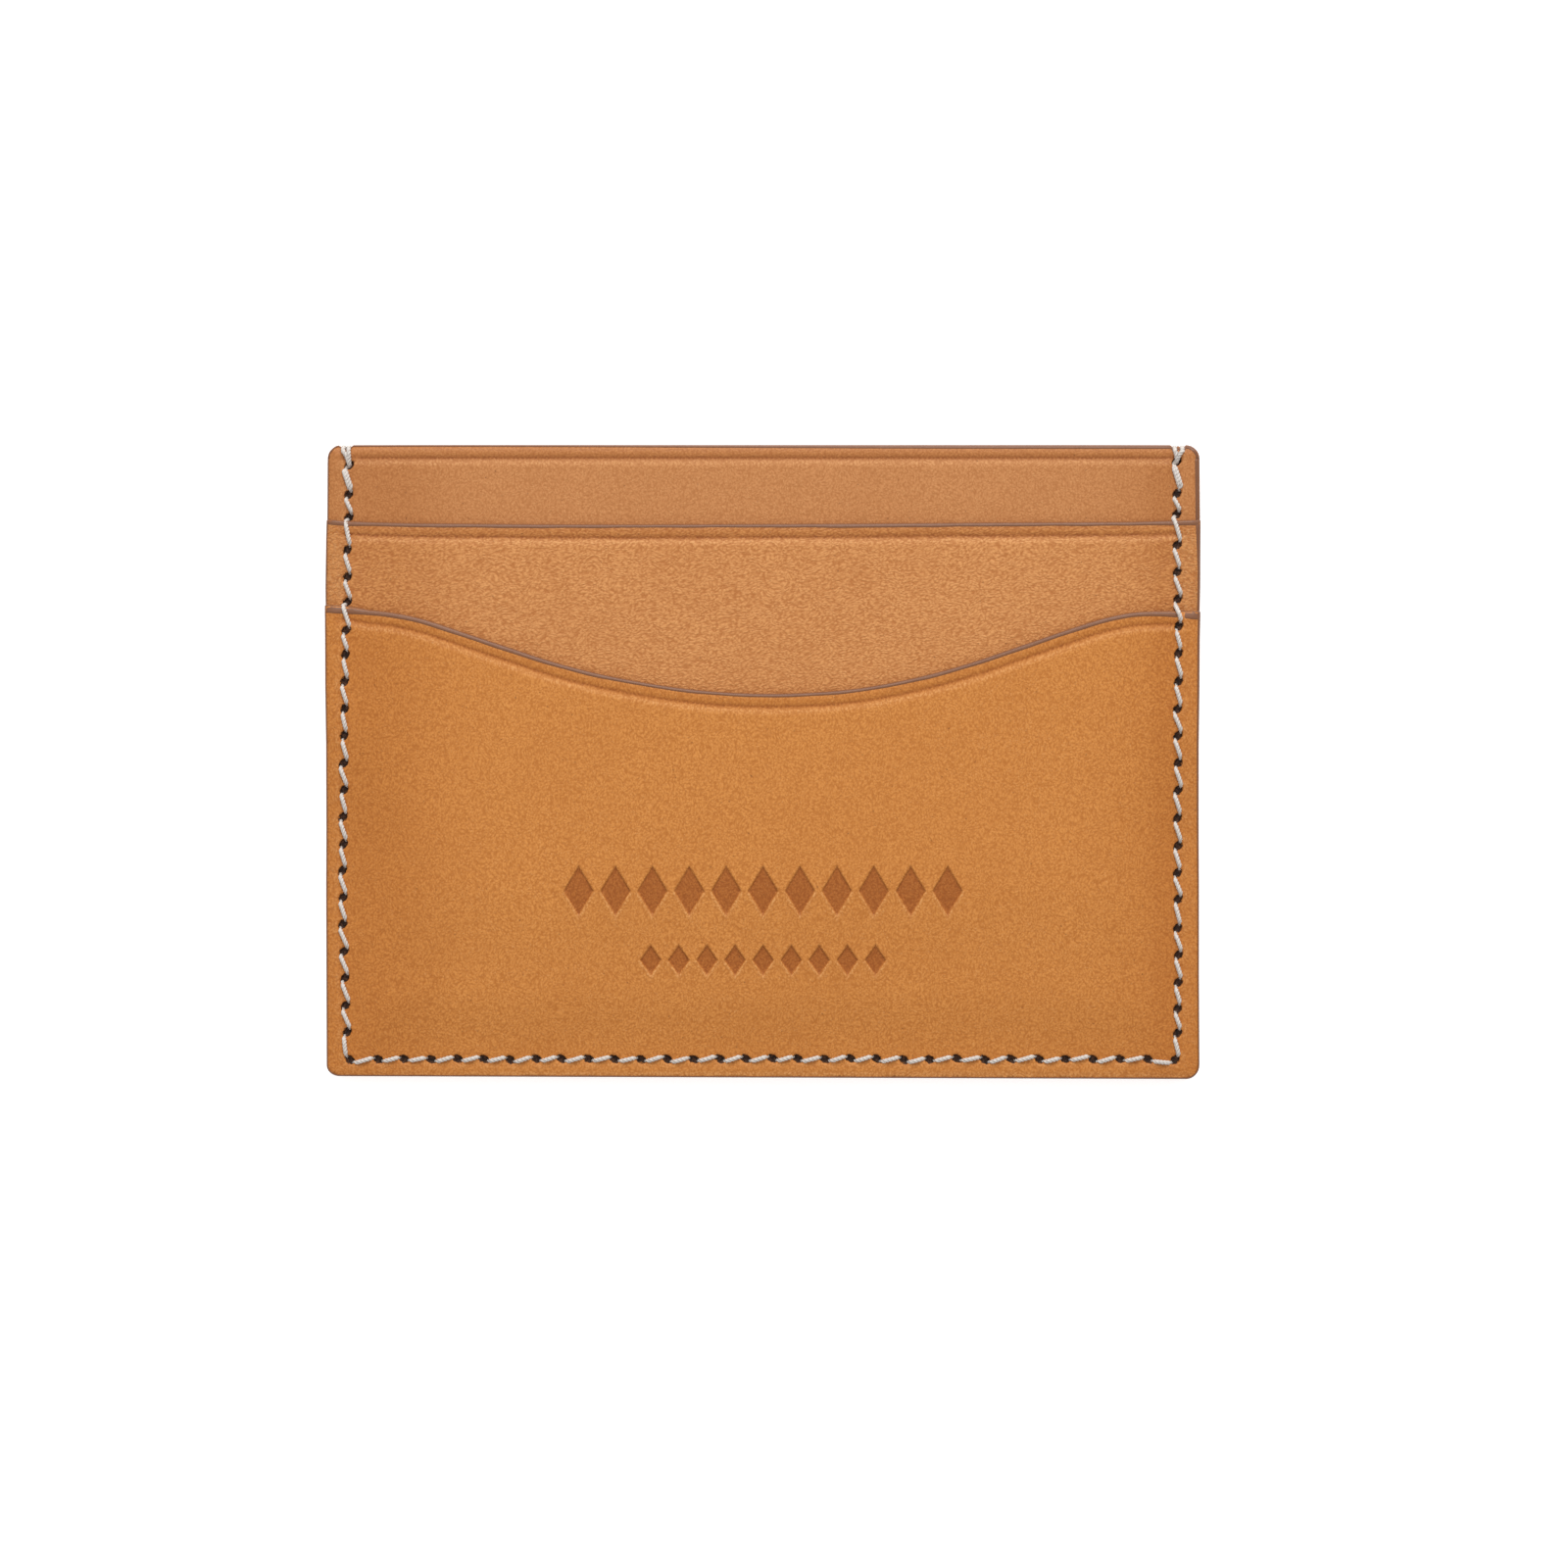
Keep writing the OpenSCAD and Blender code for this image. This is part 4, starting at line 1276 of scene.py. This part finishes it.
def thread_run(first_on_face):
    """The stops of one of the two runs, from its hidden start to its hidden end."""
    last = len(HOLES) - 1
    sign = 1 if first_on_face else -1
    x_start = WRAP_X[0] + sign * WRAP_SPREAD[0]
    x_end = WRAP_X[1] + sign * WRAP_SPREAD[1]
    in_first, in_last = [(*HOLES[0], MID_SLIT)], [(*HOLES[last], MID_SLIT)]
    if first_on_face:
        stops = rear_stitch(1, 0, BESIDE_ON_BACK) + in_first + wrap_over(0, x_start, False) + in_first
    else:
        stops = face_stitch(1, 0, BESIDE_ON_FACE) + in_first + wrap_over(0, x_start, True)
    on_face = first_on_face
    for i in range(last):
        stops += face_stitch(i, i + 1) if on_face else rear_stitch(i, i + 1)
        on_face = not on_face
    if on_face:
        stops += in_last + wrap_over(1, x_end, False) + in_last
        stops += face_stitch(last, last - 1, BESIDE_ON_FACE)
    else:
        stops += wrap_over(1, x_end, True)[::-1] + [(*HOLES[last], END_SLIT)]
        stops += rear_stitch(last, last - 1, BESIDE_ON_BACK)
    return stops


print("stops in the first needle's run:", len(thread_run(True)))

# %% [markdown]
# The thread's cross-section is three round plies that touch, and it turns steadily along the path, which
# makes the twisted look. Carrying the outline of all three as one skin keeps the thread a single closed
# solid.

# %% Plied thread
PLY_TURN = 1.15
PLY_POINTS = 15


def ply_outline(radius):
    """Distance of the three plies' common outline from the middle, at even angles."""
    ply = radius * 0.56
    middle = radius - ply
    angle = 2 * math.pi * np.arange(PLY_POINTS) / PLY_POINTS
    from_ply = (angle + math.pi / 3) % (2 * math.pi / 3) - math.pi / 3
    return angle, middle * np.cos(from_ply) + np.sqrt(ply**2 - (middle * np.sin(from_ply)) ** 2)


def plied_rings(path, radius):
    """Rings of a twisted thread round a path, turning once every PLY_TURN millimetres."""
    run = np.gradient(path, axis=0)
    run = run / np.linalg.norm(run, axis=1)[:, None]
    length = np.append(0, np.cumsum(np.linalg.norm(np.diff(path, axis=0), axis=1)))
    angle, reach = ply_outline(radius)
    side = np.cross(run[0], (0.3, 0.5, 0.8))
    rings = []
    for point, ahead, along in zip(path, run, length):
        side = side - ahead * side.dot(ahead)
        side = side / np.linalg.norm(side)
        other = np.cross(ahead, side)
        turned = angle + 2 * math.pi * along / PLY_TURN
        aside, across = (reach * np.cos(turned))[:, None], (reach * np.sin(turned))[:, None]
        rings.append(point + aside * side + across * other)
    return rings


thread_runs = []
for name, first_on_face in (("seam_thread_first_needle", True), ("seam_thread_second_needle", False)):
    path = smooth_path(thread_run(first_on_face), 0.14)
    thread_runs.append(sweep(name, plied_rings(path, THREAD_R), [THREAD]))
    print(name, "thread length in mm:", round(float(np.linalg.norm(np.diff(path, axis=0), axis=1).sum())))

# %% [markdown]
# The hem of the second pocket's tongue is sewn to the centre panel with the same thread, a little thinner.
# It is hidden inside the front pocket, so plain stitches that go up and down through the two sheets are
# enough.

# %% Hem stitches
HEM_R = 0.19
HEM_STITCHES = 28
hem_x = np.linspace(-TONGUE_HALF + 2.0, TONGUE_HALF - 2.0, HEM_STITCHES + 1)
HEM_LINE_Y = HEM_Y + 2.0
hem_stops = []
for i, (a, b) in enumerate(zip(hem_x, hem_x[1:])):
    face_z = float(second_level(a, HEM_LINE_Y)) + 0.1
    rear_z = float(centre_level(a, HEM_LINE_Y)) - 0.75
    z = face_z if i % 2 == 0 else rear_z
    hem_stops += [(a, HEM_LINE_Y, (face_z + rear_z) / 2), (a + 0.5, HEM_LINE_Y, z), (b - 0.5, HEM_LINE_Y, z)]
hem_stitches = sweep("hem_stitches", plied_rings(smooth_path(hem_stops, 0.3), HEM_R), [THREAD])

# %% [markdown]
# ## Bodies and slots
# The holder has no joint, so every piece rides on its one body. Each piece stands for the CAD node that it
# details, which is hidden, and is listed with that node's material slot.

# %% Tie the pieces to the frame
STANDS_FOR = {
    back_leather: ("back_panel", "leather"),
    centre_leather: ("centre_panel", "leather"),
    second_leather: ("second_pocket", "leather"),
    front_leather: ("front_pocket", "leather"),
    thread_runs[0]: ("seam_thread", "thread"),
    thread_runs[1]: ("seam_thread", "thread"),
    hem_stitches: ("hem_thread", "thread"),
    perimeter_paint: ("perimeter_edge_paint", "edge_paint"),
    back_paint: ("back_mouth_edge_paint", "edge_paint"),
    centre_paint: ("centre_mouth_edge_paint", "edge_paint"),
    second_paint: ("second_mouth_edge_paint", "edge_paint"),
    front_paint: ("front_mouth_edge_paint", "edge_paint"),
}
for piece, (node, slot) in STANDS_FOR.items():
    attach(piece, "root")
    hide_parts(node)
print("pieces:", len(STANDS_FOR))

# %% [markdown]
# ## Floor, light and camera
# A sheet of opal acrylic, lit faintly from below so that the holder casts no heavy shadow, a bright even
# surround, and one broad soft light from beyond the mouths. The slopes that face the mouths catch it and
# the ones that face away don't, which is what shows the creased lines.

# %% Stage
FLOOR_SIZE = 3.0
# The floor lies a hair under the holder, so that the two faces don't flicker through each other
FLOOR_Z = -0.1 * MM
bpy.ops.mesh.primitive_plane_add(size=FLOOR_SIZE, location=(0, 0, FLOOR_Z))
floor = bpy.context.object
floor.name = "floor"
opal_sheet, opal = new_material("opal_acrylic_lit_from_below")
glow = add(opal, "BsdfPrincipled", {"Base Color": srgb("#f4f4f4"), "Roughness": 0.8,
                                              "Emission Color": srgb("#ffffff"), "Emission Strength": 0.6})
# Its underside is clear, so that the back of the holder can be looked at from below
underside = add(opal, "NewGeometry").outputs["Backfacing"]
clear = add(opal, "BsdfTransparent")
sheet = add(opal, "MixShader", {0: underside, 1: glow.outputs[0], 2: clear.outputs[0]})
add(opal, "OutputMaterial", {"Surface": sheet.outputs[0]})
floor.data.materials.append(opal_sheet)

world = bpy.data.worlds.new("studio")
bpy.context.scene.world = world
world.use_nodes = True
world.node_tree.nodes["Background"].inputs["Color"].default_value = srgb("#ffffff")
world.node_tree.nodes["Background"].inputs["Strength"].default_value = 0.62


def softbox(name, place, size, watts):
    """A square area light that looks at the holder."""
    light = bpy.data.lights.new(name, "AREA")
    light.size = size
    light.energy = watts
    lamp = bpy.data.objects.new(name, light)
    lamp.location = place
    lamp.rotation_euler = (Vector((0, 0, 0)) - Vector(place)).to_track_quat("-Z", "Y").to_euler()
    bpy.context.scene.collection.objects.link(lamp)


softbox("softbox_beyond_the_mouths", (0.05, 0.75, 0.55), 0.5, 6.2)

# %% [markdown]
# The camera looks straight down on the holder through a long lens, which keeps its edges almost parallel.
# The distance follows from the width that the view should take in.

# %% Camera
LENS_MM = 100.0
SENSOR_MM = 36.0
VIEW_WIDTH = 178.9 * MM
AIM = Vector((2.38 * MM, -2.55 * MM, 3 * MM))
camera = bpy.data.objects.new("camera", bpy.data.cameras.new("camera"))
camera.data.lens = LENS_MM
camera.data.sensor_width = SENSOR_MM
camera.location = AIM + Vector((0, 0, VIEW_WIDTH * LENS_MM / SENSOR_MM))
bpy.context.scene.collection.objects.link(camera)
bpy.context.scene.camera = camera
bpy.context.scene.view_settings.view_transform = "Standard"
print("camera height in mm:", round(camera.location.z / MM))
